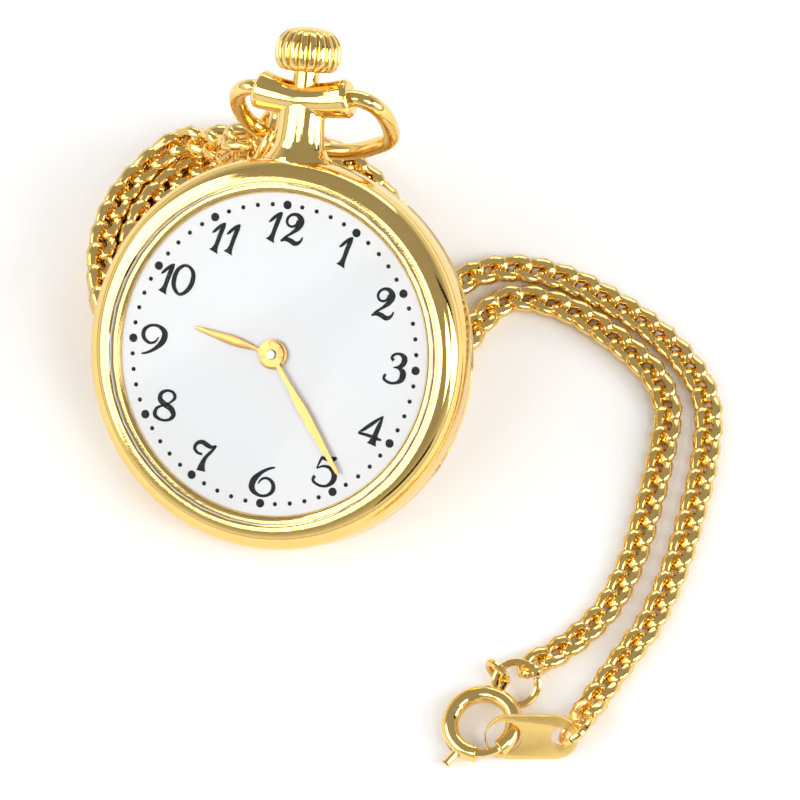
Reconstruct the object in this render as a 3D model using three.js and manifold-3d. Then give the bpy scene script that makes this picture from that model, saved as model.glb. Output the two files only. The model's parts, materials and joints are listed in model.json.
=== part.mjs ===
// Open-face pendant pocket watch with a quartz movement, on a doubled curb chain.
// Millimetres, +Z up. The watch leans back on a coil of its own chain, with its rim on the floor.
// Watch axes, inside the leaning group: x towards 3 o'clock, y towards 12 o'clock, z out of the dial.
import * as THREE from "three";
import { mergeVertices } from "three/addons/utils/BufferGeometryUtils.js";
import Module from "manifold-3d";

const wasm = await Module();
wasm.setup();

// ---- Clearances ----
const SEAT = 0.05; // between pieces that rest on or in each other
const RUN = 0.04; // radial clearance of a turning pivot or pipe

// ---- Case ----
const CASE_RADIUS = 18.84;
const BACK_HEIGHT = 2.3; // back cover, from its flat face to its edge
const BAND_HEIGHT = 2.6; // middle of the case
const BEZEL_HEIGHT = 1.95;
const BEZEL_WIDTH = 2.34; // from the outer edge to the crystal seat
const CASE_WALL = 0.8;
const EDGE_BREAK = 0.3; // chamfer each side of the groove between back and band
const SNAP_WIDTH = 0.5; // snap rims of back and bezel
const SNAP_HEIGHT = 0.6;
const BACK_FLAT_RADIUS = 12.5; // flat middle of the back cover

// ---- Crystal, dial and hands ----
const CRYSTAL_THICKNESS = 0.65;
const CRYSTAL_RISE = 0.8; // dome of its inner face
const GASKET_WIDTH = 0.12;
const DIAL_THICKNESS = 0.4;
const DIAL_RECESS = 1.05; // dial face below the bezel's top
const FLANGE_WIDTH = 1.1; // gold ring between dial and crystal
const HAND_THICKNESS = 0.12;
const HOUR_HAND_LENGTH = 8.3;
const HAND_ROOT_HALF_WIDTH = 0.2; // beside the hub
const HOUR_HAND_HALF_WIDTH = 0.48;
const MINUTE_HAND_HALF_WIDTH = 0.44;
const HOUR_HUB_RADIUS = 1.45;
const MINUTE_HUB_RADIUS = 1.2;
const MINUTE_TIP_MARGIN = 1.9; // minute hand's tip to the flange
const HAND_FLOOR = 0.25; // hour hand above the dial
const HAND_STEP = 0.18; // minute hand above the hour hand
const HOUR_SHOWN = 9 + 24 / 60;

// ---- Movement ----
const MOVEMENT_RADIUS = 9.6;
const PLATE_THICKNESS = 0.95;
const MOTION_SPACE = 0.95; // between main plate and dial
const TRAIN_SPACE = 1.6; // between main plate and train bridge
const BRIDGE_THICKNESS = 0.45;
const BATTERY_RADIUS = 3.4;
const BATTERY_HEIGHT = 2.1;
const STEM_DEPTH = 1.95; // stem axis below the dial's face

// ---- Pendant, crown and bow ----
const NECK_RADIUS = 2.35;
const NECK_FOOT_RADIUS = 2.95;
const NECK_FLATNESS = 0.8; // depth of the neck over its width
const NECK_HEIGHT = 6.3; // case edge to the bow's pivot axis
const HEAD_HALF_LENGTH = 4.75;
const HEAD_END_RADIUS = 1.95;
const HEAD_WAIST_RADIUS = 1.45;
const SLEEVE_RADIUS = 1.24;
const SLEEVE_TAIL_RADIUS = 0.85; // where it passes through the band
const STEM_RADIUS = 0.45;
const CROWN_RADIUS = 3.24;
const CROWN_HEIGHT = 4.35;
const CROWN_LIFT = 0.63; // crown above the head's waist
const CROWN_FLUTES = 24;
const CROWN_TRAVEL = 0.9;
const BOW_HALF_WIDTH = 7.6; // to the wire's centre
const BOW_LENGTH = 10.6; // pivot axis to the wire's centre
const BOW_WIRE_RADIUS = 0.82;
const BOW_PIN_RADIUS = 0.5;
const BOW_HANG_DEGREES = 123; // free hanging angle behind the crown
const BOW_RING_RADIUS = 2.8; // to the wire's centre
const BOW_RING_WIRE_RADIUS = 0.5;

// ---- How the watch leans ----
const LEAN_DEGREES = 35.3; // dial plane to the floor
const HEADING_DEGREES = -33.3; // turn of the leaning watch about the upright
const ROLL_DEGREES = 22.6; // turn of 12 o'clock away from straight uphill

// ---- Facet counts ----
const CASE_SIDES = 36;
const ROUND_SIDES = 20;
const SMALL_SIDES = 12;
const LINK_SIDES = 16; // round a wire ring

const radians = THREE.MathUtils.degToRad;

// ---- Finishes ----
function finish(color, roughness, metalness) {
  return new THREE.MeshStandardMaterial({ color, roughness, metalness });
}

const gold = () => finish(0xe2b55c, 0.12, 1);
const goldHand = () => finish(0xb98a35, 0.3, 1);
const steel = () => finish(0xb9bcc0, 0.3, 1);
const brass = () => finish(0xc8a04a, 0.35, 1);
const copper = () => finish(0xb06a38, 0.45, 1);
const whitePlastic = () => finish(0xe9e6de, 0.5, 0);
const enamel = () => finish(0xf4f3f0, 0.3, 0);
const rubber = () => finish(0x1c1c1e, 0.8, 0);
const board = () => finish(0x1f5a37, 0.5, 0);
const blackPlastic = () => finish(0x17181a, 0.45, 0);
const clear = () => finish(0xeef2f4, 0.05, 0);

// ---- Shape helpers ----
function welded(geometry) {
  const bare = geometry.clone();
  bare.deleteAttribute("normal");
  bare.deleteAttribute("uv");
  return mergeVertices(bare, 1e-5);
}

function signedVolume(geometry) {
  const place = geometry.attributes.position;
  const index = geometry.index;
  const corners = [new THREE.Vector3(), new THREE.Vector3(), new THREE.Vector3()];
  let total = 0;
  for (let i = 0; i < index.count; i += 3) {
    corners.forEach((corner, k) => corner.fromBufferAttribute(place, index.getX(i + k)));
    total += corners[0].dot(corners[1].clone().cross(corners[2]));
  }
  return total / 6;
}

// A welded copy whose faces point out.
function outward(geometry) {
  const closed = welded(geometry);
  if (signedVolume(closed) > 0) return closed;
  const index = closed.index;
  for (let i = 0; i < index.count; i += 3) {
    const kept = index.getX(i + 1);
    index.setX(i + 1, index.getX(i + 2));
    index.setX(i + 2, kept);
  }
  return closed;
}

function solid(geometry) {
  const closed = outward(geometry);
  return new wasm.Manifold(
    new wasm.Mesh({
      numProp: 3,
      vertProperties: new Float32Array(closed.attributes.position.array),
      triVerts: new Uint32Array(closed.index.array),
    })
  );
}

function geometryOf(manifold) {
  const result = manifold.getMesh();
  const geometry = new THREE.BufferGeometry();
  geometry.setAttribute("position", new THREE.BufferAttribute(result.vertProperties, 3));
  geometry.setIndex(new THREE.BufferAttribute(result.triVerts, 1));
  return geometry;
}

function joined(...pieces) {
  return geometryOf(pieces.map(solid).reduce((whole, piece) => whole.add(piece)));
}

function cut(piece, ...tools) {
  return geometryOf(tools.map(solid).reduce((whole, tool) => whole.subtract(tool), solid(piece)));
}

// A turned solid about z from [radius, height] points.
function turned(points, sides = ROUND_SIDES) {
  const profile = points.map(([radius, height]) => new THREE.Vector2(radius, height));
  return outward(new THREE.LatheGeometry(profile, sides).rotateX(Math.PI / 2));
}

// A turned ring of rectangular section.
function ring(inner, outer, low, high, sides = ROUND_SIDES) {
  return turned([[inner, low], [outer, low], [outer, high], [inner, high], [inner, low]], sides);
}

function disc(radius, low, high, sides = ROUND_SIDES) {
  return turned([[0, low], [radius, low], [radius, high], [0, high]], sides);
}

function at(geometry, x, y, z = 0) {
  return geometry.clone().translate(x, y, z);
}

// Turns a solid made along z so that it lies along +y.
function alongY(geometry) {
  return geometry.clone().rotateX(-Math.PI / 2);
}

// Turns a solid made along z so that it lies along +x.
function alongX(geometry) {
  return geometry.clone().rotateY(Math.PI / 2);
}

function block(width, depth, height, x, y, z) {
  return new THREE.BoxGeometry(width, depth, height).translate(x, y, z);
}

// A flat plate cut to an outline of [x, y] points, from one height to another.
function plate(outline, low, high, holes = []) {
  const shape = new THREE.Shape(outline.map(([x, y]) => new THREE.Vector2(x, y)));
  holes.forEach(([x, y, radius]) => {
    shape.holes.push(new THREE.Path().absarc(x, y, radius, 0, 2 * Math.PI, true));
  });
  const options = { depth: high - low, bevelEnabled: false, curveSegments: 6 };
  return outward(new THREE.ExtrudeGeometry(shape, options).translate(0, 0, low));
}

// Points along an ellipse's arc, in degrees.
function arc(centreX, centreY, radiusX, radiusY, from, to, steps) {
  return Array.from({ length: steps + 1 }, (_, i) => {
    const angle = radians(from + ((to - from) * i) / steps);
    return [centreX + radiusX * Math.cos(angle), centreY + radiusY * Math.sin(angle)];
  });
}

// A round wire or tube along a curve.
function wire(curve, radius, steps, sides = 8) {
  const section = new THREE.Shape();
  section.absarc(0, 0, radius, 0, 2 * Math.PI, false);
  const options = { steps, extrudePath: curve, bevelEnabled: false, curveSegments: sides / 2 };
  return outward(new THREE.ExtrudeGeometry(section, options));
}

function curveThrough(points) {
  return new THREE.CatmullRomCurve3(points.map((point) => new THREE.Vector3(...point)));
}

function place(group, name, geometry, material) {
  const mesh = new THREE.Mesh(geometry, material);
  mesh.name = name;
  group.add(mesh);
  return mesh;
}

// ---- Heights inside the case, from the flat of the back ----
const bandLow = BACK_HEIGHT + SEAT;
const bandHigh = bandLow + BAND_HEIGHT;
const bezelLow = bandHigh + SEAT;
const bezelHigh = bezelLow + BEZEL_HEIGHT;
const dialFace = bezelHigh - DIAL_RECESS;
const dialBack = dialFace - DIAL_THICKNESS;
const stemHeight = dialFace - STEM_DEPTH;
const plateHigh = dialBack - MOTION_SPACE;
const plateLow = plateHigh - PLATE_THICKNESS;
const bridgeHigh = plateLow - TRAIN_SPACE;
const bridgeLow = bridgeHigh - BRIDGE_THICKNESS;
const hourHandLow = dialFace + HAND_FLOOR;
const minuteHandLow = hourHandLow + HAND_THICKNESS + HAND_STEP;

// ---- Radii inside the case ----
const seatRadius = CASE_RADIUS - BEZEL_WIDTH;
const crystalRadius = seatRadius - GASKET_WIDTH - 2 * SEAT;
const crystalSkirt = crystalRadius - SEAT * 8;
const dialRadius = seatRadius - CASE_WALL * 0.375;
const bezelFlange = dialRadius + SEAT;
const flangeOuter = dialRadius;
const flangeInner = flangeOuter - FLANGE_WIDTH;
const bandInner = seatRadius;
const lipOuter = bandInner + SNAP_WIDTH + SEAT * 2;
const ringOuter = bandInner - SNAP_WIDTH * 0.2;

const watch = new THREE.Group();

// ---- Case ----
function makeCase() {
  const rimRadius = CASE_RADIUS - EDGE_BREAK;
  const back = turned(
    [
      [0, 0],
      [BACK_FLAT_RADIUS, 0],
      ...arc(BACK_FLAT_RADIUS, BACK_HEIGHT - EDGE_BREAK, CASE_RADIUS - BACK_FLAT_RADIUS,
        BACK_HEIGHT - EDGE_BREAK, -72, 0, 4),
      [rimRadius, BACK_HEIGHT],
      [bandInner + SNAP_WIDTH, BACK_HEIGHT],
      [bandInner + SNAP_WIDTH, BACK_HEIGHT + SNAP_HEIGHT],
      [bandInner + SEAT, BACK_HEIGHT + SNAP_HEIGHT],
      [bandInner + SEAT, CASE_WALL * 1.6],
      [BACK_FLAT_RADIUS, CASE_WALL],
      [0, CASE_WALL],
    ],
    CASE_SIDES
  );
  place(watch, "case_back", back, gold());

  const gasketRadius = bandInner + SNAP_WIDTH + SEAT;
  const gasketRoom = 0.4;
  const backGasket = ring(gasketRadius + SEAT, gasketRadius + gasketRoom, bandLow + SEAT,
    bandLow + gasketRoom, CASE_SIDES);
  place(watch, "back_gasket", backGasket, rubber());

  const snapTop = BACK_HEIGHT + SNAP_HEIGHT + SEAT;
  const band = turned(
    [
      [gasketRadius + gasketRoom + SEAT, bandLow],
      [rimRadius, bandLow],
      [CASE_RADIUS, bandLow + EDGE_BREAK],
      [CASE_RADIUS, bandHigh],
      [lipOuter, bandHigh],
      [lipOuter, bandHigh + SNAP_HEIGHT],
      [bandInner, bandHigh + SNAP_HEIGHT],
      [bandInner, snapTop],
      [gasketRadius, snapTop],
      [gasketRadius, bandLow + gasketRoom + SEAT],
      [gasketRadius + gasketRoom + SEAT, bandLow + gasketRoom + SEAT],
      [gasketRadius + gasketRoom + SEAT, bandLow],
    ],
    CASE_SIDES
  );
  const sleeveHole = alongY(disc(SLEEVE_TAIL_RADIUS + SEAT, 0, CASE_RADIUS + 1));
  place(watch, "case_band", cut(band, at(sleeveHole, 0, 0, stemHeight)), gold());

  const flangeHigh = bezelHigh - 0.5;
  const bezel = turned(
    [
      [lipOuter + SEAT, bezelLow],
      ...arc(seatRadius + 0.4, bezelLow, BEZEL_WIDTH - 0.4, BEZEL_HEIGHT, 0, 90, 7),
      [seatRadius, bezelHigh - 0.06],
      [seatRadius, flangeHigh],
      [bezelFlange, flangeHigh],
      [bezelFlange, bezelLow + SNAP_HEIGHT],
      [lipOuter + SEAT, bezelLow + SNAP_HEIGHT],
      [lipOuter + SEAT, bezelLow],
    ],
    CASE_SIDES
  );
  place(watch, "bezel", bezel, gold());

  const crystalLow = flangeHigh + SEAT;
  const edgeHigh = bezelHigh;
  const domeSteps = 5;
  const dome = (radius, edge, rise) => Array.from({ length: domeSteps }, (_, i) => {
    const share = i / domeSteps;
    return [radius * share, edge + rise * (1 - share * share)];
  });
  const skirtHigh = crystalLow + 0.1;
  const crystal = turned(
    [
      ...dome(crystalSkirt, skirtHigh, CRYSTAL_RISE),
      [crystalSkirt, skirtHigh],
      [crystalSkirt, crystalLow],
      [crystalRadius, crystalLow],
      [crystalRadius, edgeHigh],
      ...dome(crystalRadius, edgeHigh, CRYSTAL_RISE + CRYSTAL_THICKNESS - 0.4).reverse(),
    ],
    CASE_SIDES
  );
  place(watch, "crystal", crystal, clear());
  const gasketInner = crystalRadius + SEAT;
  const crystalGasket = ring(gasketInner, gasketInner + GASKET_WIDTH, crystalLow, edgeHigh - 0.1,
    CASE_SIDES);
  place(watch, "crystal_gasket", crystalGasket, whitePlastic());

  const flangeLow = dialFace + SEAT;
  const flangeTop = flangeHigh - SEAT;
  const flange = turned(
    [
      [flangeInner, flangeLow],
      [flangeOuter, flangeLow],
      [flangeOuter, flangeTop],
      [crystalSkirt, flangeTop],
      [flangeInner, flangeLow + 0.12],
      [flangeInner, flangeLow],
    ],
    CASE_SIDES
  );
  place(watch, "dial_flange", flange, gold());
}

// ---- Pendant: neck, head, sleeve ----
const pivotY = CASE_RADIUS + NECK_HEIGHT;
const crownLow = pivotY + HEAD_WAIST_RADIUS + CROWN_LIFT;
const sleeveTop = crownLow + CROWN_HEIGHT * 0.3;

function makePendant() {
  const foot = CASE_RADIUS - 1;
  const neck = turned(
    [
      [0, foot],
      [NECK_FOOT_RADIUS, foot],
      [NECK_FOOT_RADIUS, CASE_RADIUS + 0.45],
      [NECK_RADIUS + 0.35, CASE_RADIUS + 0.95],
      [NECK_RADIUS, CASE_RADIUS + 1.6],
      [NECK_RADIUS - 0.08, pivotY - HEAD_END_RADIUS],
      [NECK_RADIUS + 0.5, pivotY - HEAD_WAIST_RADIUS * 0.55],
      [NECK_RADIUS, pivotY],
      [0, pivotY],
    ],
    ROUND_SIDES
  );
  const head = turned(
    [
      [0, -HEAD_HALF_LENGTH],
      [HEAD_END_RADIUS - 0.25, -HEAD_HALF_LENGTH],
      [HEAD_END_RADIUS, -HEAD_HALF_LENGTH + 0.3],
      ...[-3, -1.5, 0, 1.5, 3].map((x) => {
        const share = x / HEAD_HALF_LENGTH;
        return [HEAD_WAIST_RADIUS + (HEAD_END_RADIUS - HEAD_WAIST_RADIUS) * share * share, x];
      }),
      [HEAD_END_RADIUS, HEAD_HALF_LENGTH - 0.3],
      [HEAD_END_RADIUS - 0.25, HEAD_HALF_LENGTH],
      [0, HEAD_HALF_LENGTH],
    ],
    ROUND_SIDES
  );
  const neckUpright = alongY(neck).scale(1, 1, NECK_FLATNESS);
  const body = joined(neckUpright, at(alongX(head), 0, pivotY));
  const caseRoom = at(disc(CASE_RADIUS + SEAT, -BACK_HEIGHT * 4, BEZEL_HEIGHT * 6, CASE_SIDES), 0, 0);
  const bore = alongY(disc(SLEEVE_RADIUS + SEAT, 0, crownLow));
  const pinHole = alongX(disc(BOW_PIN_RADIUS + RUN, HEAD_HALF_LENGTH - 1.6, HEAD_HALF_LENGTH + 1,
    SMALL_SIDES));
  const pendant = cut(body, caseRoom, bore, at(pinHole, 0, pivotY),
    at(pinHole, -2 * HEAD_HALF_LENGTH - 1 + 1.6, pivotY));
  place(watch, "pendant", pendant, gold()).position.z = stemHeight;

  const tailLow = bandInner + SNAP_WIDTH + SEAT * 3;
  const shoulder = CASE_RADIUS + SEAT;
  const sleeve = turned([
    [STEM_RADIUS + RUN, tailLow],
    [SLEEVE_TAIL_RADIUS, tailLow],
    [SLEEVE_TAIL_RADIUS, shoulder],
    [SLEEVE_RADIUS, shoulder],
    [SLEEVE_RADIUS, sleeveTop],
    [STEM_RADIUS + RUN, sleeveTop],
    [STEM_RADIUS + RUN, tailLow],
  ]);
  place(watch, "stem_sleeve", alongY(sleeve), gold()).position.z = stemHeight;
}

// ---- Crown, crown gasket and stem ----
const clutchLow = MOVEMENT_RADIUS - 2.25;
const clutchLength = 1.3;

function makeCrown() {
  const recess = SLEEVE_RADIUS + SEAT;
  const roomTop = sleeveTop - crownLow + SEAT * 2;
  const gasketHigh = roomTop - 0.2;
  const gasketLow = gasketHigh - 0.5;
  const gasketOuter = recess + 0.35;
  const stemTop = roomTop + 1.4;
  const profile = [
    [recess, 0],
    ...arc(CROWN_RADIUS - 1.1, CROWN_HEIGHT * 0.45, 1.1, CROWN_HEIGHT * 0.45, -60, 0, 2),
    ...arc(CROWN_RADIUS - 2.2, CROWN_HEIGHT * 0.45, 2.2, CROWN_HEIGHT * 0.49, 25, 75, 2),
    [0, CROWN_HEIGHT],
    [0, stemTop + SEAT],
    [STEM_RADIUS + SEAT, stemTop + SEAT],
    [STEM_RADIUS + SEAT, roomTop],
    [gasketOuter + SEAT, roomTop],
    [gasketOuter + SEAT, gasketLow - SEAT],
    [recess, gasketLow - SEAT],
    [recess, 0],
  ];
  const barrel = turned(profile, CROWN_FLUTES * 2);
  const corners = barrel.attributes.position;
  const fluteFrom = gasketOuter + SEAT * 3;
  for (let i = 0; i < corners.count; i += 1) {
    const x = corners.getX(i);
    const y = corners.getY(i);
    const turn = Math.round((Math.atan2(y, x) * CROWN_FLUTES) / Math.PI);
    const radius = Math.hypot(x, y);
    const share = radius > fluteFrom && turn % 2 !== 0 ? 0.945 : 1;
    corners.setXY(i, x * share, y * share);
  }
  const crown = place(watch, "crown", alongY(barrel), gold());
  crown.position.set(0, crownLow, stemHeight);

  const gasket = ring(recess + SEAT, gasketOuter, gasketLow, gasketHigh);
  const gasketMesh = place(watch, "crown_gasket", alongY(gasket), rubber());
  gasketMesh.position.set(0, crownLow, stemHeight);

  const grooveLow = MOVEMENT_RADIUS - 0.75;
  const grooveHigh = MOVEMENT_RADIUS - 0.35;
  const stem = turned(
    [
      [0, clutchLow - 0.6],
      [STEM_RADIUS * 0.7, clutchLow - 0.6],
      [STEM_RADIUS * 0.7, clutchLow + clutchLength + 0.02],
      [STEM_RADIUS, clutchLow + clutchLength + 0.02],
      [STEM_RADIUS, grooveLow],
      [STEM_RADIUS * 0.6, grooveLow],
      [STEM_RADIUS * 0.6, grooveHigh],
      [STEM_RADIUS, grooveHigh],
      [STEM_RADIUS, crownLow + stemTop],
      [0, crownLow + stemTop],
    ],
    SMALL_SIDES
  );
  place(watch, "stem", alongY(stem), steel()).position.z = stemHeight;
}

// ---- Bow and the ring that joins the chain to it ----
const bow = new THREE.Group();

function circleRing(radius, wireRadius) {
  return outward(new THREE.TorusGeometry(radius, wireRadius, 8, LINK_SIDES));
}

function bowCurve() {
  const half = [
    [HEAD_HALF_LENGTH + 0.15, 0, 0],
    [HEAD_HALF_LENGTH + 0.8, 0.03, 0],
    [BOW_HALF_WIDTH - 0.95, 0.75, 0],
    [BOW_HALF_WIDTH - 0.25, 2.1, 0],
    [BOW_HALF_WIDTH, 4.4, 0],
    [BOW_HALF_WIDTH - 0.5, 7, 0],
    [BOW_HALF_WIDTH * 0.66, BOW_LENGTH - 1.8, 0],
    [BOW_HALF_WIDTH * 0.33, BOW_LENGTH - 0.4, 0],
  ];
  const otherHalf = half.map(([x, y, z]) => [-x, y, z]).reverse();
  return curveThrough([...half, [0, BOW_LENGTH, 0], ...otherHalf]);
}

function makeBow() {
  const pin = alongX(disc(BOW_PIN_RADIUS, HEAD_HALF_LENGTH - 1.5, HEAD_HALF_LENGTH + 0.4,
    SMALL_SIDES));
  const otherPin = at(pin, -2 * HEAD_HALF_LENGTH + 1.1, 0);
  place(bow, "bow", joined(wire(bowCurve(), BOW_WIRE_RADIUS, 32, 8), pin, otherPin), gold());
  bow.position.set(0, pivotY, stemHeight);
  bow.rotation.x = -radians(BOW_HANG_DEGREES);
  watch.add(bow);
}


// ---- Dial and hands ----
const POST_RADIUS = 0.42;
const HOUR_PIPE_RADIUS = 0.72;
const dialHole = HOUR_PIPE_RADIUS + 0.1;
const minuteHandLength = flangeInner - MINUTE_TIP_MARGIN;

function makeDial() {
  const footRadius = 0.35;
  const footLength = MOTION_SPACE - SEAT * 2;
  const face = turned(
    [
      [dialHole, dialBack],
      [dialRadius, dialBack],
      [dialRadius, dialFace],
      [dialHole, dialFace],
      [dialHole, dialBack],
    ],
    CASE_SIDES
  );
  const feet = [35, 205].map((angle) => {
    const [x, y] = arc(0, 0, MOVEMENT_RADIUS - 1, MOVEMENT_RADIUS - 1, angle, angle, 1)[0];
    return at(disc(footRadius, dialBack - footLength, dialBack + 0.1, SMALL_SIDES), x, y);
  });
  place(watch, "dial", joined(face, ...feet), enamel());
}

// A leaf hand pointing along +y, with a round hub.
function handGeometry(length, halfWidth, hub, pipe) {
  const outline = [
    [HAND_ROOT_HALF_WIDTH, hub * 0.8],
    [halfWidth, length * 0.45],
    [halfWidth * 0.7, length * 0.72],
    [0, length],
    [-halfWidth * 0.7, length * 0.72],
    [-halfWidth, length * 0.45],
    [-HAND_ROOT_HALF_WIDTH, hub * 0.8],
  ];
  const blade = plate(outline, 0, HAND_THICKNESS);
  return cut(joined(blade, disc(hub, 0, HAND_THICKNESS)), disc(pipe + RUN, -1, 1));
}

function makeHands() {
  const hourAngle = (HOUR_SHOWN / 12) * 360;
  const minuteAngle = (HOUR_SHOWN % 1) * 360;
  const hourHand = handGeometry(
    HOUR_HAND_LENGTH,
    HOUR_HAND_HALF_WIDTH,
    HOUR_HUB_RADIUS,
    HOUR_PIPE_RADIUS
  );
  const hour = place(watch, "hour_hand", hourHand, goldHand());
  hour.position.z = hourHandLow;
  hour.rotation.z = -radians(hourAngle);
  const minuteHand = handGeometry(
    minuteHandLength,
    MINUTE_HAND_HALF_WIDTH,
    MINUTE_HUB_RADIUS,
    POST_RADIUS
  );
  const minute = place(watch, "minute_hand", minuteHand, goldHand());
  minute.position.z = minuteHandLow;
  minute.rotation.z = -radians(minuteAngle);
}

// ---- Gears ----
const CENTRE_MODULE = 0.12;
const THIRD_MODULE = 0.1;
const FIFTH_MODULE = 0.084;
const MOTION_MODULE = 0.15;
const CENTRE_TEETH = 24;
const THIRD_PINION_TEETH = 8;
const THIRD_TEETH = 30;
const FIFTH_PINION_TEETH = 6;
const FIFTH_TEETH = 36;
const ROTOR_TEETH = 6;
const CANNON_TEETH = 8;
const MINUTE_TEETH = 24;
const MINUTE_PINION_TEETH = 6;
const HOUR_TEETH = 24;
const SETTING_TEETH = 16;
const WHEEL_THICKNESS = 0.22;
const PIVOT_RADIUS = 0.2;
const ROTOR_MAGNET_RADIUS = 0.65;

// A toothed disc. The first tooth points along `towards` degrees; `half` shifts it by half a tooth.
function gear(teeth, module, low, high, towards = 0, half = 0, hole = 0) {
  const pitchRadius = (teeth * module) / 2;
  const root = pitchRadius - module;
  const tip = pitchRadius + module * 0.75;
  const step = 360 / teeth;
  const outline = [];
  for (let i = 0; i < teeth; i += 1) {
    const tooth = towards + step * (i + half);
    const corners = [[root, -0.3], [tip, -0.1], [tip, 0.1], [root, 0.3]];
    corners.forEach(([radius, share]) => {
      const angle = radians(tooth + share * step);
      outline.push([radius * Math.cos(angle), radius * Math.sin(angle)]);
    });
  }
  return plate(outline, low, high, hole ? [[0, 0, hole]] : []);
}

const gearDistance = (teeth, otherTeeth, module) => ((teeth + otherTeeth) * module) / 2;

function from([x, y], distance, angle) {
  return [x + distance * Math.cos(radians(angle)), y + distance * Math.sin(radians(angle))];
}

const centreAt = [0, 0];
const THIRD_ANGLE = 150;
const FIFTH_ANGLE = 200;
const ROTOR_ANGLE = 262;
const MINUTE_ANGLE = 100;
const SETTING_ANGLE = 80;
const thirdAt = from(centreAt, gearDistance(CENTRE_TEETH, THIRD_PINION_TEETH, CENTRE_MODULE),
  THIRD_ANGLE);
const fifthAt = from(thirdAt, gearDistance(THIRD_TEETH, FIFTH_PINION_TEETH, THIRD_MODULE),
  FIFTH_ANGLE);
const rotorAt = from(fifthAt, gearDistance(FIFTH_TEETH, ROTOR_TEETH, FIFTH_MODULE), ROTOR_ANGLE);
const motionDistance = gearDistance(CANNON_TEETH, MINUTE_TEETH, MOTION_MODULE);
const hourModule = (2 * motionDistance) / (MINUTE_PINION_TEETH + HOUR_TEETH);
const minuteWheelAt = from(centreAt, motionDistance, MINUTE_ANGLE);
const settingAt = from(minuteWheelAt, gearDistance(MINUTE_TEETH, SETTING_TEETH, MOTION_MODULE),
  SETTING_ANGLE);

// Heights of the three train wheels, from the bridge up to the plate.
const trainLow = bridgeHigh + 0.12;
const fifthWheelLow = trainLow + 0.1;
const thirdWheelLow = fifthWheelLow + WHEEL_THICKNESS + 0.2;
const centreWheelLow = thirdWheelLow + WHEEL_THICKNESS + 0.2;
const trainHigh = plateLow - 0.1;

// A wheel with its pinion and two pivots on one axis.
function wheelAndPinion(wheel, pinion, pivotLow, pivotHigh) {
  return joined(wheel, pinion, disc(PIVOT_RADIUS, pivotLow, pivotHigh, 8));
}

function makeTrain() {
  const pivotLow = bridgeHigh - 0.3;
  const pivotHigh = plateLow + 0.3;
  const centreTop = minuteHandLow + HAND_THICKNESS + 0.3;
  const cannonLow = plateHigh + 0.1;
  const cannonHigh = cannonLow + 0.3;
  const centre = joined(
    gear(CENTRE_TEETH, CENTRE_MODULE, centreWheelLow, centreWheelLow + WHEEL_THICKNESS,
      THIRD_ANGLE),
    disc(PIVOT_RADIUS, pivotLow, centreWheelLow + 0.1, 8),
    disc(POST_RADIUS, centreWheelLow + 0.1, centreTop, SMALL_SIDES),
    gear(CANNON_TEETH, MOTION_MODULE, cannonLow, cannonHigh, MINUTE_ANGLE)
  );
  place(watch, "centre_wheel", centre, steel());

  const third = wheelAndPinion(
    gear(THIRD_TEETH, THIRD_MODULE, thirdWheelLow, thirdWheelLow + WHEEL_THICKNESS, FIFTH_ANGLE),
    gear(THIRD_PINION_TEETH, CENTRE_MODULE, thirdWheelLow, trainHigh, THIRD_ANGLE + 180, 0.5),
    pivotLow,
    pivotHigh
  );
  place(watch, "third_wheel", third, brass()).position.set(...thirdAt, 0);

  const fifth = wheelAndPinion(
    gear(FIFTH_TEETH, FIFTH_MODULE, fifthWheelLow, fifthWheelLow + WHEEL_THICKNESS, ROTOR_ANGLE),
    gear(FIFTH_PINION_TEETH, THIRD_MODULE, fifthWheelLow, thirdWheelLow + WHEEL_THICKNESS + 0.05,
      FIFTH_ANGLE + 180, 0.5),
    pivotLow,
    pivotHigh
  );
  place(watch, "fifth_wheel", fifth, brass()).position.set(...fifthAt, 0);

  const magnetLow = fifthWheelLow + WHEEL_THICKNESS + 0.15;
  const rotor = joined(
    gear(ROTOR_TEETH, FIFTH_MODULE, trainLow, magnetLow + 0.05, ROTOR_ANGLE + 180, 0.5),
    disc(ROTOR_MAGNET_RADIUS, magnetLow, magnetLow + 0.5, SMALL_SIDES),
    disc(PIVOT_RADIUS, pivotLow, pivotHigh, 8)
  );
  place(watch, "rotor", rotor, steel()).position.set(...rotorAt, 0);

  const minuteWheelLow = cannonLow + 0.04;
  const minuteWheelHigh = minuteWheelLow + WHEEL_THICKNESS;
  const hourWheelLow = minuteWheelHigh + 0.12;
  const hourWheelHigh = hourWheelLow + WHEEL_THICKNESS;
  const minuteWheel = joined(
    gear(MINUTE_TEETH, MOTION_MODULE, minuteWheelLow, minuteWheelHigh, MINUTE_ANGLE + 180, 0.5),
    gear(MINUTE_PINION_TEETH, hourModule, minuteWheelLow, hourWheelHigh, MINUTE_ANGLE + 180),
    disc(PIVOT_RADIUS, plateHigh - 0.4, minuteWheelLow + 0.1, 8)
  );
  place(watch, "minute_wheel", minuteWheel, brass()).position.set(...minuteWheelAt, 0);

  const hourWheel = cut(
    joined(
      gear(HOUR_TEETH, hourModule, hourWheelLow, hourWheelHigh, MINUTE_ANGLE, 0.5),
      disc(HOUR_PIPE_RADIUS, hourWheelLow, hourHandLow + HAND_THICKNESS + 0.06)
    ),
    disc(POST_RADIUS + RUN * 2, hourWheelLow - 1, hourHandLow + 2)
  );
  place(watch, "hour_wheel", hourWheel, brass());

  const settingWheel = joined(
    gear(SETTING_TEETH, MOTION_MODULE, stemHeight + 0.25, minuteWheelHigh,
      SETTING_ANGLE + 180, settingPhase()),
    disc(PIVOT_RADIUS, stemHeight - 0.2, stemHeight + 0.3, 8)
  );
  place(watch, "setting_wheel", settingWheel, steel()).position.set(...settingAt, 0);
}

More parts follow.
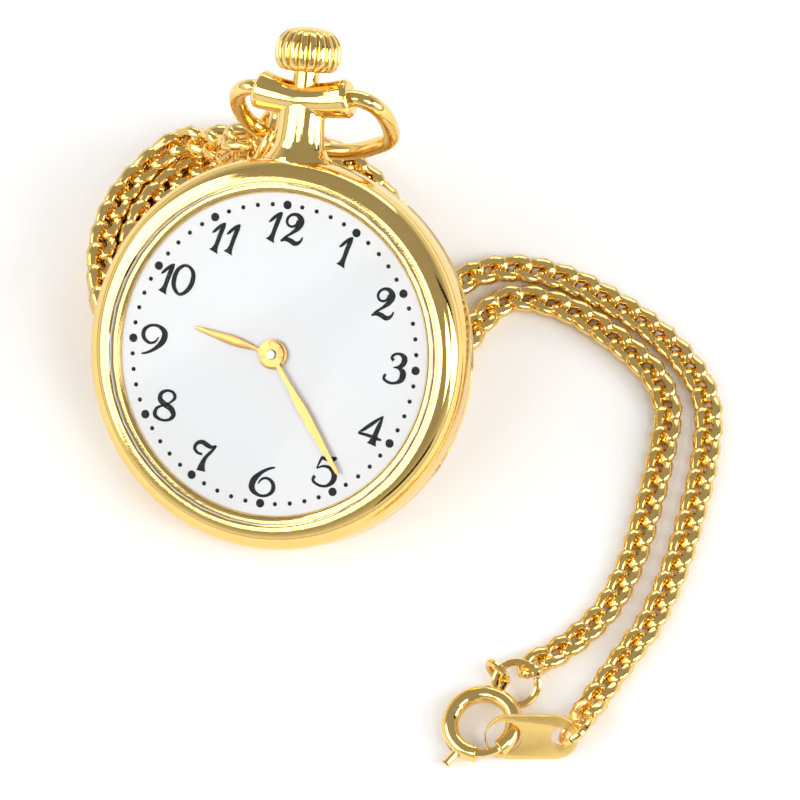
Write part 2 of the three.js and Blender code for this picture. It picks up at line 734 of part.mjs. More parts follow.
// Share of a tooth that puts the setting wheel's gap opposite a tooth of the minute wheel.
function settingPhase() {
  const minuteStep = 360 / MINUTE_TEETH;
  const firstTooth = MINUTE_ANGLE + 180 + minuteStep / 2;
  const offset = (SETTING_ANGLE - firstTooth) / minuteStep;
  return 0.5 + offset - Math.floor(offset);
}

// ---- Plate, bridge, holder ring and screws ----
const BRIDGE_PILLARS = [[-2.4, 4], [-0.6, -2.6], [-6.6, -1.6]];
const PILLAR_RADIUS = 0.55;
const SCREW_RADIUS = 0.24;
const CLUTCH_RADIUS = 0.8;
const settingRoom = gearDistance(SETTING_TEETH, 0, MOTION_MODULE) + MOTION_MODULE + SEAT;

function makeFrame() {
  const pivotHole = ([x, y]) => at(disc(PIVOT_RADIUS + RUN, plateLow - 1, plateLow + 0.35, 8), x, y);
  const slotHalf = CLUTCH_RADIUS + SEAT * 2;
  const slotLow = clutchLow - CROWN_TRAVEL;
  const slotLength = MOVEMENT_RADIUS + 1 - slotLow;
  const mainPlate = cut(
    disc(MOVEMENT_RADIUS, plateLow, plateHigh, CASE_SIDES),
    disc(POST_RADIUS + RUN, 0, dialFace, SMALL_SIDES),
    pivotHole(thirdAt),
    pivotHole(fifthAt),
    pivotHole(rotorAt),
    at(disc(PIVOT_RADIUS + RUN, plateHigh - 0.45, dialFace, 8), ...minuteWheelAt),
    at(disc(settingRoom, stemHeight + 0.2, dialFace), ...settingAt),
    at(disc(PIVOT_RADIUS + RUN, stemHeight - 0.25, dialFace, 8), ...settingAt),
    block(slotHalf * 2, slotLength, 3, 0, slotLow + slotLength / 2, plateLow),
    block(slotHalf * 2, slotLength, 3, 0, slotLow + slotLength / 2, plateHigh)
  );
  place(watch, "main_plate", mainPlate, brass());

  const holderInner = MOVEMENT_RADIUS + SEAT * 2;
  const holder = ring(holderInner, ringOuter, bridgeLow - 0.15, dialBack - SEAT, CASE_SIDES);
  const stemHole = alongY(disc(STEM_RADIUS + 0.25, 0, CASE_RADIUS, SMALL_SIDES));
  const leverRoom = block(3, CROWN_TRAVEL * 2 + 0.4, 3, 0.2, MOVEMENT_RADIUS, stemHeight + 1.5);
  const holderBody = cut(holder, at(stemHole, 0, 0, stemHeight), leverRoom);
  place(watch, "movement_holder", holderBody, whitePlastic());

  const outline = [
    [-1.6, 4.8], [-3.3, 4.7], [-5.6, 2.2], [-7.4, -0.9], [-7.2, -2.4], [-5, -3.6], [-1.2, -3.7],
    [0.1, -3.2], [0.8, -0.6], [0.9, 0.8], [-0.2, 2],
  ];
  const bridgePlate = plate(outline.slice().reverse(), bridgeLow, bridgeHigh);
  const pillar = disc(PILLAR_RADIUS, bridgeHigh - 0.1, plateLow - SEAT, SMALL_SIDES);
  const screwHole = disc(SCREW_RADIUS + RUN, bridgeLow - 1, plateLow - 0.4, 8);
  const bridgeHole = ([x, y]) => at(disc(PIVOT_RADIUS + RUN, bridgeHigh - 0.35, plateLow, 8), x, y);
  const bridge = cut(
    joined(bridgePlate, ...BRIDGE_PILLARS.map(([x, y]) => at(pillar, x, y))),
    ...BRIDGE_PILLARS.map(([x, y]) => at(screwHole, x, y)),
    ...[centreAt, thirdAt, fifthAt, rotorAt].map(bridgeHole)
  );
  place(watch, "train_bridge", bridge, brass());

  const head = disc(PILLAR_RADIUS - 0.08, bridgeLow - 0.35, bridgeLow - SEAT, SMALL_SIDES);
  const shank = disc(SCREW_RADIUS, bridgeLow - 0.2, plateLow - 0.5, 8);
  const slot = block(2, 0.16, 0.3, 0, 0, bridgeLow - 0.4);
  const screw = cut(joined(head, shank), slot);
  BRIDGE_PILLARS.forEach(([x, y], i) => {
    place(watch, `bridge_screw_${i + 1}`, screw, steel()).position.set(x, y, 0);
  });
}

// ---- Battery, motor and circuit ----
function makeElectrics() {
  const batteryAt = [3.6, -3.6];
  const batteryHigh = plateLow - SEAT;
  const batteryLow = batteryHigh - BATTERY_HEIGHT;
  const battery = turned([
    [0, batteryLow],
    [BATTERY_RADIUS, batteryLow],
    [BATTERY_RADIUS, batteryHigh - 0.35],
    [BATTERY_RADIUS - 0.45, batteryHigh - 0.2],
    [BATTERY_RADIUS - 0.45, batteryHigh],
    [0, batteryHigh],
  ]);
  place(watch, "battery", battery, steel()).position.set(...batteryAt, 0);

  const clampHigh = batteryLow - SEAT;
  const clampOutline = [[0.9, -6.9], [2, -7.7], [8.2, -0.6], [7.4, 0.6], [6.4, 0.5]];
  place(watch, "battery_clamp", plate(clampOutline, clampHigh - 0.22, clampHigh), steel());

  const coilAt = [-2.9, -6.7, 2.7];
  const coilRadius = 0.8;
  const coilHalf = 2.8;
  const coreHalf = 0.225;
  const coil = place(watch, "motor_coil", alongX(ring(0.36, coilRadius, -coilHalf, coilHalf)), copper());
  coil.position.set(...coilAt);
  const core = block(coilHalf * 2 + 1.6, coreHalf * 2, coreHalf * 2, 0, 0, 0);
  place(watch, "coil_core", core, steel()).position.set(...coilAt);

  const statorLow = coilAt[2] + coreHalf + SEAT;
  const statorOutline = [
    [-6.5, -7], [-5.8, -7], [-5.8, -5.7], [-4.3, -3.2], [-2.9, -3.2], [-0.2, -5.3], [0, -7],
    [0.7, -7], [0.7, -5.4], [-2.3, -2.1], [-2.6, -0.25], [-4.6, -0.25], [-4.9, -2.4], [-6.5, -5.5],
  ];
  const stator = plate(statorOutline, statorLow, statorLow + 0.25,
    [[...rotorAt, ROTOR_MAGNET_RADIUS + 0.1]]);
  place(watch, "stator", stator, steel());

  const boardOutline = [[1.6, 1], [8.6, 1], [7.8, 4.2], [5.2, 7.3], [1.6, 8.6]];
  place(watch, "circuit_board", plate(boardOutline, bridgeHigh, bridgeHigh + 0.25), board());
  const boardTop = bridgeHigh + 0.25 + SEAT;
  place(watch, "control_chip", block(1.8, 1.8, 0.5, 3.2, 3.6, boardTop + 0.25), blackPlastic());
  const canRadius = 0.6;
  const can = place(watch, "quartz_can", alongX(disc(canRadius, -2.3, 2.3, SMALL_SIDES)), steel());
  can.position.set(5.9, 3.6, boardTop + canRadius);
  can.rotation.z = radians(-55);
}

// ---- Setting parts: clutch, setting lever and yoke ----
function makeSetting() {
  const groove = [0.4, 0.8];
  const clutch = turned(
    [
      [STEM_RADIUS * 0.7 + RUN, 0],
      [CLUTCH_RADIUS, 0],
      [CLUTCH_RADIUS, groove[0]],
      [CLUTCH_RADIUS - 0.2, groove[0]],
      [CLUTCH_RADIUS - 0.2, groove[1]],
      [CLUTCH_RADIUS, groove[1]],
      [CLUTCH_RADIUS, clutchLength - SEAT],
      [STEM_RADIUS * 0.7 + RUN, clutchLength - SEAT],
      [STEM_RADIUS * 0.7 + RUN, 0],
    ],
    SMALL_SIDES
  );
  place(watch, "clutch_wheel", alongY(clutch), steel()).position.set(0, clutchLow, stemHeight);

  const leverLow = plateHigh + 0.28;
  const leverHigh = leverLow + 0.2;
  const stemGroove = MOVEMENT_RADIUS - 0.55;
  const leverPivot = [2.6, 7.6];
  const leverReach = [-leverPivot[0], stemGroove - leverPivot[1]];
  const lever = joined(
    disc(0.55, leverLow, leverHigh, SMALL_SIDES),
    plate([[-0.1, -0.5], [0.5, 0.1], [leverReach[0] + 0.15, leverReach[1] + 0.25],
      [leverReach[0] - 0.2, leverReach[1] - 0.2]], leverLow, leverHigh),
    block(0.3, 0.24, leverHigh - stemHeight - 0.3, ...leverReach, (leverHigh + stemHeight + 0.3) / 2)
  );
  place(watch, "setting_lever", lever, steel()).position.set(...leverPivot, 0);

  const clutchGroove = clutchLow + (groove[0] + groove[1]) / 2;
  const yokePivot = [-3.2, 7.6];
  const yokeReach = [2.42, clutchGroove - yokePivot[1]];
  const yoke = joined(
    disc(0.5, leverLow, leverHigh, SMALL_SIDES),
    plate([[0, -0.4], [yokeReach[0] + 0.1, yokeReach[1] - 0.15], [yokeReach[0] + 0.1,
      yokeReach[1] + 0.15], [0, 0.4]], leverLow, leverHigh),
    block(0.2, 0.22, leverHigh - stemHeight - 0.4, ...yokeReach, (leverHigh + stemHeight + 0.4) / 2)
  );
  place(watch, "yoke", yoke, steel()).position.set(...yokePivot, 0);
}

makeCase();
makeDial();
makeHands();
makeTrain();
makeFrame();
makeElectrics();
makeSetting();
makePendant();
makeCrown();
makeBow();

// ---- The leaning watch ----
const rolled = new THREE.Group();
rolled.add(watch);
watch.rotation.z = radians(ROLL_DEGREES);
rolled.rotation.x = radians(LEAN_DEGREES);
const leaning = new THREE.Group();
leaning.add(rolled);
leaning.rotation.z = radians(HEADING_DEGREES);

const assembly = new THREE.Group();
assembly.add(leaning);
assembly.updateMatrixWorld(true);
const reach = new THREE.Box3().setFromObject(leaning, true);
const middle = reach.getCenter(new THREE.Vector3());
leaning.position.set(-middle.x, -middle.y, -reach.min.z);
assembly.updateMatrixWorld(true);

// ---- Chain: a coil under the leaning watch and two strands to the clasp, on the floor ----
const CHAIN_WIDTH = 2.85;
const COIL_CENTRE = [-2.9, 10.22];
const COIL_INNER = 10.65; // inside of the coil's two columns of turns
const COIL_HEIGHT = 3.9; // three turns high
const strandRadius = CHAIN_WIDTH / 2;
const coilOuter = COIL_INNER + 2 * CHAIN_WIDTH;

// The strands from the coil to the clasp and up to the bow's ring, in the assembly's axes.
const INNER_STRAND = [
  [8.7, -3.8, 1.5], [13, -2.5, 1.5], [16.6, 0.9, 1.5], [19.2, 5, 1.5], [22.2, 7.45, 1.5],
  [27.3, 6.5, 1.5], [32.1, 3.2, 1.5], [35, 0.35, 1.5], [36.3, -1.4, 1.5], [37.4, -5, 1.5],
  [36.9, -8.6, 1.5], [36.2, -12.1, 1.5], [35.1, -16.5, 1.5], [33.8, -21, 1.5], [31.8, -25.5, 1.5],
  [30.1, -27.9, 1.5], [27.8, -30.1, 1.5], [25.6, -31.7, 1.5],
];
const OUTER_STRAND = [
  [13.6, 2.6, 1.5], [14.9, 6.3, 1.5], [18, 9.8, 1.5], [22.2, 10.85, 1.5], [27.3, 9.75, 1.5],
  [32.1, 7.05, 1.5], [36.9, 3.15, 1.5], [40.3, -1.4, 1.5], [41.3, -5, 1.5], [41.1, -8.6, 1.5],
  [40.5, -12.3, 1.5], [39.7, -15.6, 1.5], [38.5, -20.1, 1.5], [36.9, -24.6, 1.5], [35, -28.6, 1.5],
  [33.1, -31.4, 1.5], [30.9, -34.8, 1.5], [30, -36.2, 1.5],
];
const LEFT_DROP = [[-4.4, 17.7, 9], [-5.4, 19.5, 8.2], [-7.2, 21.6, 7], [-8.2, 22.4, 5.5]];
const RIGHT_DROP = [[-1.3, 18.3, 9], [-1.4, 20.1, 8.3], [-1.2, 22.3, 7], [-0.8, 23.2, 5.4]];
const BOW_RING_PLACE = 0.69; // along the bow's wire, past its middle

function makeBowRing() {
  const curve = bowCurve();
  const onBow = bow.localToWorld(curve.getPointAt(BOW_RING_PLACE));
  const along = curve.getTangentAt(BOW_RING_PLACE).transformDirection(bow.matrixWorld);
  const down = new THREE.Vector3(0, 0, -1).projectOnPlane(along).normalize();
  const hang = BOW_RING_RADIUS - BOW_RING_WIRE_RADIUS - BOW_WIRE_RADIUS - SEAT;
  const torus = circleRing(BOW_RING_RADIUS, BOW_RING_WIRE_RADIUS);
  const bowRing = place(assembly, "bow_ring", torus, gold());
  bowRing.quaternion.setFromUnitVectors(new THREE.Vector3(0, 0, 1), along);
  bowRing.position.copy(onBow).addScaledVector(down, hang);
}

function makeChain() {
  const edge = 0.8; // rounding of the coil's outline
  const coil = turned(
    [
      [COIL_INNER, 0],
      [coilOuter - edge, 0],
      [coilOuter, edge],
      [coilOuter, COIL_HEIGHT - edge],
      [coilOuter - edge, COIL_HEIGHT],
      [COIL_INNER, COIL_HEIGHT],
      [COIL_INNER, 0],
    ],
    CASE_SIDES
  );
  place(assembly, "chain_coil", coil, gold()).position.set(...COIL_CENTRE, 0);
  const strands = { inner: INNER_STRAND, outer: OUTER_STRAND, left: LEFT_DROP, right: RIGHT_DROP };
  Object.entries(strands).forEach(([name, points]) => {
    const tube = wire(curveThrough(points), strandRadius, points.length * 2, 8);
    place(assembly, `chain_${name}`, tube, gold());
  });
}

// ---- Spring ring clasp, its jump ring and the tab on the other strand ----
const CLASP_CENTRE = [19.2, -39.1, 1.6];
const CLASP_HEADING = -40; // from the assembly's x to the clasp's x
const CLASP_TILT = 9.5;
const CLASP_TILT_AXIS = 326;
const CLASP_RADIUS = 3.1; // to the wire's centre
const CLASP_WIRE_RADIUS = 0.85;
const CLASP_GAP_FROM = 300; // opening, in degrees round the ring
const CLASP_GAP_TO = 342;
const CLASP_BORE_RADIUS = 0.47;
const CLASP_BORE_FROM = 178;
const BOLT_RADIUS = 0.38;
const BOLT_FROM = 252;
const BOLT_LAP = 8; // of the bolt's tip into the far side, in degrees
const NIB_ANGLE = 268;
const NIB_RADIUS = 0.42;
const NIB_REACH = 5.4; // from the clasp's centre
const TRIGGER_TRAVEL = 42;
const SPRING_TURNS = 6;
const SPRING_WIRE_RADIUS = 0.07;
const LINK_WIRE_RADIUS = 0.38;
const EYE_CENTRE = [20.7, -33.75, 1.9];
const EYE_RADIUS = 1.2;
const EYE_HEADING = 45;
const JUMP_CENTRE = [22.5, -34.7, 1.4];
const JUMP_RADIUS = 2.05;
const JUMP_TILT = 28;
const TAB_CENTRE = [23.9, -40.75, 2.24];
const TAB_HALF_LENGTH = 4.5;
const TAB_HALF_WIDTH = 2.35;
const TAB_THICKNESS = 0.5;
const TAB_TILT = 55;
const TAB_LARGE_HOLE = 1.72;
const TAB_SMALL_HOLE = 1;
const TAB_LARGE_OFFSET = -2.66;
const TAB_SMALL_OFFSET = 2.8;
const TAB_LINK_RADIUS = 1.6;
const TAB_LINK_CENTRE = [28.1, -40.3, 2.85];
const TAB_LINK_AXIS = [0.6, -0.46, -0.655];

function arcWire(fromDegrees, toDegrees, radius, sides) {
  const steps = Math.max(2, Math.round((toDegrees - fromDegrees) / 20));
  const points = [];
  for (let i = 0; i <= steps; i += 1) {
    const angle = radians(fromDegrees + ((toDegrees - fromDegrees) * i) / steps);
    points.push([CLASP_RADIUS * Math.cos(angle), CLASP_RADIUS * Math.sin(angle), 0]);
  }
  return wire(curveThrough(points), radius, steps * 2, sides);
}

function turnTo(object, axis) {
  const target = new THREE.Vector3(...axis).normalize();
  object.quaternion.setFromUnitVectors(new THREE.Vector3(0, 0, 1), target);
}

// A ring of wire as geometry, with its axis along a direction, in the clasp's axes.
function eyeGeometry(clasp) {
  const holder = new THREE.Object3D();
  holder.position.set(...EYE_CENTRE);
  const heading = radians(EYE_HEADING);
  turnTo(holder, [Math.cos(heading), Math.sin(heading), 0]);
  holder.updateMatrixWorld(true);
  const intoClasp = clasp.matrixWorld.clone().invert().multiply(holder.matrixWorld);
  return circleRing(EYE_RADIUS, LINK_WIRE_RADIUS).applyMatrix4(intoClasp);
}

function eyeStem(clasp) {
  const heading = radians(EYE_HEADING - 90);
  const foot = new THREE.Vector3(...EYE_CENTRE);
  foot.x += EYE_RADIUS * Math.cos(heading);
  foot.y += EYE_RADIUS * Math.sin(heading);
  clasp.worldToLocal(foot);
  const onRing = foot.clone().setZ(0).setLength(CLASP_RADIUS + 0.3);
  const stem = [onRing.toArray(), onRing.clone().lerp(foot, 0.5).toArray(), foot.toArray()];
  return wire(curveThrough(stem), LINK_WIRE_RADIUS - 0.04, 4, 8);
}

function makeClasp() {
  const clasp = new THREE.Group();
  clasp.position.set(...CLASP_CENTRE);
  const tiltAxis = radians(CLASP_TILT_AXIS);
  const tilt = new THREE.Quaternion().setFromAxisAngle(
    new THREE.Vector3(Math.cos(tiltAxis), Math.sin(tiltAxis), 0),
    radians(CLASP_TILT)
  );
  const heading = new THREE.Quaternion().setFromAxisAngle(
    new THREE.Vector3(0, 0, 1),
    radians(CLASP_HEADING)
  );
  clasp.quaternion.copy(heading).multiply(tilt);
  assembly.add(clasp);
  assembly.updateMatrixWorld(true);

  const slot = [
    ...arc(0, 0, CLASP_RADIUS, CLASP_RADIUS, NIB_ANGLE - TRIGGER_TRAVEL - 8, NIB_ANGLE + 8, 10),
    ...arc(0, 0, NIB_REACH, NIB_REACH, NIB_ANGLE + 8, NIB_ANGLE - TRIGGER_TRAVEL - 8, 10),
  ];
  const slotHalf = NIB_RADIUS + SEAT;
  const ringBody = cut(
    joined(
      arcWire(CLASP_GAP_TO - 360, CLASP_GAP_FROM, CLASP_WIRE_RADIUS, 10),
      eyeGeometry(clasp),
      eyeStem(clasp)
    ),
    arcWire(CLASP_BORE_FROM, CLASP_GAP_FROM + 4, CLASP_BORE_RADIUS, 8),
    arcWire(CLASP_GAP_TO - 4, CLASP_GAP_TO + BOLT_LAP + 3, CLASP_BORE_RADIUS, 8),
    plate(slot, -slotHalf, slotHalf)
  );
  place(clasp, "clasp_ring", ringBody, gold());

  const nib = at(alongX(disc(NIB_RADIUS, CLASP_RADIUS, NIB_REACH, 8)), 0, 0, 0);
  const bolt = joined(
    arcWire(BOLT_FROM, CLASP_GAP_TO + BOLT_LAP, BOLT_RADIUS, 8),
    nib.rotateZ(radians(NIB_ANGLE))
  );
  place(clasp, "clasp_trigger", bolt, gold());

  const coilRadius = CLASP_BORE_RADIUS - SPRING_WIRE_RADIUS - SEAT;
  const turns = [];
  for (let i = 0; i <= SPRING_TURNS * 6; i += 1) {
    const share = i / (SPRING_TURNS * 6);
    const angle = radians(CLASP_BORE_FROM + 4 + (BOLT_FROM - CLASP_BORE_FROM - 8) * share);
    const across = CLASP_RADIUS + coilRadius * Math.cos((i * Math.PI) / 3);
    const up = coilRadius * Math.sin((i * Math.PI) / 3);
    turns.push([across * Math.cos(angle), across * Math.sin(angle), up]);
  }
  const spring = wire(curveThrough(turns), SPRING_WIRE_RADIUS, SPRING_TURNS * 6, 4);
  place(clasp, "clasp_spring", spring, steel());
}

function makeLinks() {
  const jump = place(assembly, "jump_ring", circleRing(JUMP_RADIUS, LINK_WIRE_RADIUS), gold());
  jump.position.set(...JUMP_CENTRE);
  jump.rotation.x = radians(JUMP_TILT);

  const outline = [
    ...arc(TAB_HALF_LENGTH - TAB_HALF_WIDTH, 0, TAB_HALF_WIDTH, TAB_HALF_WIDTH, -90, 90, 10),
    ...arc(TAB_HALF_WIDTH - TAB_HALF_LENGTH, 0, TAB_HALF_WIDTH, TAB_HALF_WIDTH, 90, 270, 10),
  ];
  const tab = plate(outline, -TAB_THICKNESS / 2, TAB_THICKNESS / 2, [
    [TAB_LARGE_OFFSET, 0, TAB_LARGE_HOLE],
    [TAB_SMALL_OFFSET, 0, TAB_SMALL_HOLE],
  ]);
  const tabPiece = place(assembly, "chain_tab", tab, gold());
  tabPiece.position.set(...TAB_CENTRE);
  tabPiece.rotation.x = radians(TAB_TILT);

  const link = place(assembly, "tab_link", circleRing(TAB_LINK_RADIUS, LINK_WIRE_RADIUS), gold());
  link.position.set(...TAB_LINK_CENTRE);
  turnTo(link, TAB_LINK_AXIS);
}

makeBowRing();
makeChain();
makeClasp();
makeLinks();

export default assembly;
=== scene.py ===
import json
import math

import bpy
import numpy as np
from mathutils import Matrix, Vector


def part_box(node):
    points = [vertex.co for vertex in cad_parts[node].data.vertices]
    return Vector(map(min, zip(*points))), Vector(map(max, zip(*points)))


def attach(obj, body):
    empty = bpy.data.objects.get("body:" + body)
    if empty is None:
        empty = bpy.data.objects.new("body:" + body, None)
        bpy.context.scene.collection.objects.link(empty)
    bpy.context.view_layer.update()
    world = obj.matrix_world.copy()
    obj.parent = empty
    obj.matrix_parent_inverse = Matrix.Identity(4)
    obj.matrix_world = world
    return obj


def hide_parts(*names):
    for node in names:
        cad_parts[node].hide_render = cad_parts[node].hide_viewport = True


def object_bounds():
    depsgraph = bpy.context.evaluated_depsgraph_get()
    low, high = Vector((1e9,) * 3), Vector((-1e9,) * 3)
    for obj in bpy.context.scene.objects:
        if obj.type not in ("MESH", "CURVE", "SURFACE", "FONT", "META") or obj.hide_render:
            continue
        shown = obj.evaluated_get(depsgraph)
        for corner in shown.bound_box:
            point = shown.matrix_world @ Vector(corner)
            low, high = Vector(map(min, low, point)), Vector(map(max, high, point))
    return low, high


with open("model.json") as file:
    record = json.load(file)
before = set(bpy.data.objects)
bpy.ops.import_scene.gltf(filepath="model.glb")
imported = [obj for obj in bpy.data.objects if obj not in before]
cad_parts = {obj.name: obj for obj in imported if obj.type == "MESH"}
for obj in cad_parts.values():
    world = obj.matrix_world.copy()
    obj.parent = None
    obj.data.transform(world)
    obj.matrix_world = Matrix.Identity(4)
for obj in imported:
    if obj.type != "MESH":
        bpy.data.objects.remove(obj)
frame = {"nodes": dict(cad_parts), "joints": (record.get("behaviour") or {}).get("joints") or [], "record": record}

bl_info = {
    "name": "Pendant pocket watch",
    "version": (1, 0, 0),
    "blender": (4, 5, 0),
    "location": "3D View > Sidebar > Watch",
    "description": "Makes the visible pieces and finishes of a pocket watch and its chain",
    "category": "Object",
}

CAD_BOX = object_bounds()
JOINTS = {joint["name"]: joint for joint in frame["joints"]}
MM = 0.001


# ---- Places taken from the frame ----
def watch_matrix():
    """The watch's own axes: x to 3 o'clock, y to 12 o'clock, z out of the dial, in millimetres."""
    three = Vector(JOINTS["bow_swing"]["axis"])
    twelve = Vector(JOINTS["crown_pull"]["axis"])
    out = Vector(JOINTS["minute_turn"]["axis"])
    centre = Vector(frame["record"]["mounts"][0]["pos_m"])
    turn = Matrix((three, twelve, out)).transposed().to_4x4()
    return Matrix.Translation(centre) @ turn @ Matrix.Scale(MM, 4)


WATCH = watch_matrix()
ROW = Matrix.Scale(MM, 4)

DIAL_FACE = 5.9
STEM_HEIGHT = 3.95
PIVOT = Vector((0, 25.14, 3.95))
CROWN_LOW = 27.22
HOUR_SHOWN = 9 + 24 / 60

# ---- Routes of the two strands, in millimetres, from the ring on the bow to the clasp ----
COIL_CENTRE = (-2.9, 10.22)
OUTER_COLUMN = 14.92
INNER_COLUMN = 12.08
LAYERS = (0.74, 1.98, 3.22)
LEAVING_RADIUS = 18.2

CLASP_DROP = [
    (-2.8, 17.4, 14.25), (-4.1, 17.6, 14.75), (-5.1, 17.9, 14.05), (-5.4, 18.2, 12.2),
    (-5.1, 18.5, 10.2), (-5.3, 19.3, 8.4), (-6.3, 20.8, 7.0), (-7.9, 22.2, 5.8), (-9.9, 23, 4.6),
]
TAB_DROP = [
    (-2.8, 17.4, 14.25), (-1.8, 17.2, 13.4), (-1.2, 17.2, 12.1), (-1.1, 17.7, 10.4),
    (-1.15, 18.9, 8.8), (-1.2, 20.5, 7.5), (-1.6, 22, 6.2), (-2.7, 22.7, 4.9),
]
CLASP_STRAND = [
    (13, -2.5, 0.72), (16.6, 0.9, 0.72), (19.2, 5, 0.72), (22.2, 7.45, 0.72), (27.3, 6.5, 0.72),
    (32.1, 3.2, 0.72), (35, 0.35, 0.72), (36.3, -1.4, 0.72), (37.4, -5, 0.72), (36.9, -8.6, 0.72),
    (36.2, -12.1, 0.72), (35.1, -16.5, 0.72), (33.8, -21, 0.72), (31.8, -25.5, 0.72),
    (30.1, -27.9, 0.72), (27.8, -30.1, 0.72), (25.6, -31.7, 0.8), (23.9, -32.7, 1.2),
    (23.1, -33.5, 1.6),
]
TAB_STRAND = [
    (14.9, 6.3, 0.72), (18, 9.8, 0.72), (22.2, 10.85, 0.72), (27.3, 9.75, 0.72),
    (32.1, 7.05, 0.72), (36.9, 3.15, 0.72), (40.3, -1.4, 0.72), (41.3, -5, 0.72),
    (41.1, -8.6, 0.72), (40.5, -12.3, 0.72), (39.7, -15.6, 0.72), (38.5, -20.1, 0.72),
    (36.9, -24.6, 0.72), (35, -28.6, 0.72), (33.1, -31.4, 0.72), (30.9, -34.8, 0.7),
    (29.7, -36.8, 1.0), (28.7, -38.6, 1.7), (28.3, -39.6, 2.6),
]


class WatchSizes(bpy.types.PropertyGroup):
    """Sizes and colours that a user would change."""

    chain_width: bpy.props.FloatProperty(
        name="Chain width", description="Width of the curb chain", default=0.00285, unit="LENGTH")
    chain_wire: bpy.props.FloatProperty(
        name="Chain wire", description="Thickness of a link's wire", default=0.0011, unit="LENGTH")
    chain_pitch: bpy.props.FloatProperty(
        name="Chain pitch", description="Distance from link to link", default=0.00232, unit="LENGTH")
    flutes: bpy.props.IntProperty(
        name="Crown flutes", description="Ribs round the crown", default=20, min=8, max=48)
    flute_depth: bpy.props.FloatProperty(
        name="Flute depth", description="Depth of the crown's grooves", default=0.0004, unit="LENGTH")
    numeral_height: bpy.props.FloatProperty(
        name="Numeral height", description="Height of the hour numerals", default=0.00285, unit="LENGTH")
    numeral_radius: bpy.props.FloatProperty(
        name="Numeral circle", description="Radius of the circle of numerals", default=0.0122,
        unit="LENGTH")
    dot_radius: bpy.props.FloatProperty(
        name="Dot circle", description="Radius of the circle of minute dots", default=0.01438,
        unit="LENGTH")
    gold: bpy.props.FloatVectorProperty(
        name="Gold", description="Colour of the gold plate", default=(0.93, 0.67, 0.25),
        subtype="COLOR", size=3, min=0, max=1)
    gold_deep: bpy.props.FloatVectorProperty(
        name="Deep gold", description="Colour of the gold in handled places",
        default=(0.87, 0.58, 0.17), subtype="COLOR", size=3, min=0, max=1)
    leaf: bpy.props.FloatVectorProperty(
        name="Hands", description="Colour of the hands", default=(0.74, 0.46, 0.15),
        subtype="COLOR", size=3, min=0, max=1)
    enamel: bpy.props.FloatVectorProperty(
        name="Dial", description="Colour of the dial", default=(0.91, 0.915, 0.92),
        subtype="COLOR", size=3, min=0, max=1)
    ink: bpy.props.FloatVectorProperty(
        name="Ink", description="Colour of the numerals and dots", default=(0.002, 0.002, 0.003),
        subtype="COLOR", size=3, min=0, max=1)


def sizes():
    return bpy.context.scene.watch_sizes


# ---- Finishes ----
def effect_group(name, build, outputs, inputs):
    """A shared effect with named inputs and outputs, built once."""
    group = bpy.data.node_groups.get(name)
    if group:
        return group
    group = bpy.data.node_groups.new(name, "ShaderNodeTree")
    for label, kind, value in inputs:
        socket = group.interface.new_socket(label, in_out="INPUT", socket_type=kind)
        socket.default_value = value
    for label, kind in outputs:
        group.interface.new_socket(label, in_out="OUTPUT", socket_type=kind)
    build(group, group.nodes.new("NodeGroupInput"), group.nodes.new("NodeGroupOutput"))
    return group


def handled_metal(group, source, result):
    """Soft blotches of handling and fine hairlines of the polished skin."""
    nodes, links = group.nodes, group.links
    place = nodes.new("ShaderNodeTexCoord")
    blotch = nodes.new("ShaderNodeTexNoise")
    blotch.inputs["Detail"].default_value = 4
    links.new(place.outputs["Object"], blotch.inputs["Vector"])
    links.new(source.outputs["Blotch scale"], blotch.inputs["Scale"])
    links.new(blotch.outputs["Fac"], result.inputs["Blotch"])
    stretch = nodes.new("ShaderNodeMapping")
    stretch.inputs["Scale"].default_value = (1, 14, 5)
    stretch.inputs["Rotation"].default_value = (0.4, 0.2, 0.7)
    links.new(place.outputs["Object"], stretch.inputs["Vector"])
    hair = nodes.new("ShaderNodeTexNoise")
    hair.inputs["Detail"].default_value = 6
    links.new(stretch.outputs["Vector"], hair.inputs["Vector"])
    links.new(source.outputs["Hairline scale"], hair.inputs["Scale"])
    thin = nodes.new("ShaderNodeMapRange")
    thin.inputs["From Min"].default_value = 0.52
    thin.inputs["From Max"].default_value = 0.72
    links.new(hair.outputs["Fac"], thin.inputs["Value"])
    links.new(thin.outputs["Result"], result.inputs["Hairlines"])


def handled_group():
    return effect_group(
        "handled metal",
        handled_metal,
        [("Blotch", "NodeSocketFloat"), ("Hairlines", "NodeSocketFloat")],
        [("Blotch scale", "NodeSocketFloat", 180.0), ("Hairline scale", "NodeSocketFloat", 900.0)],
    )


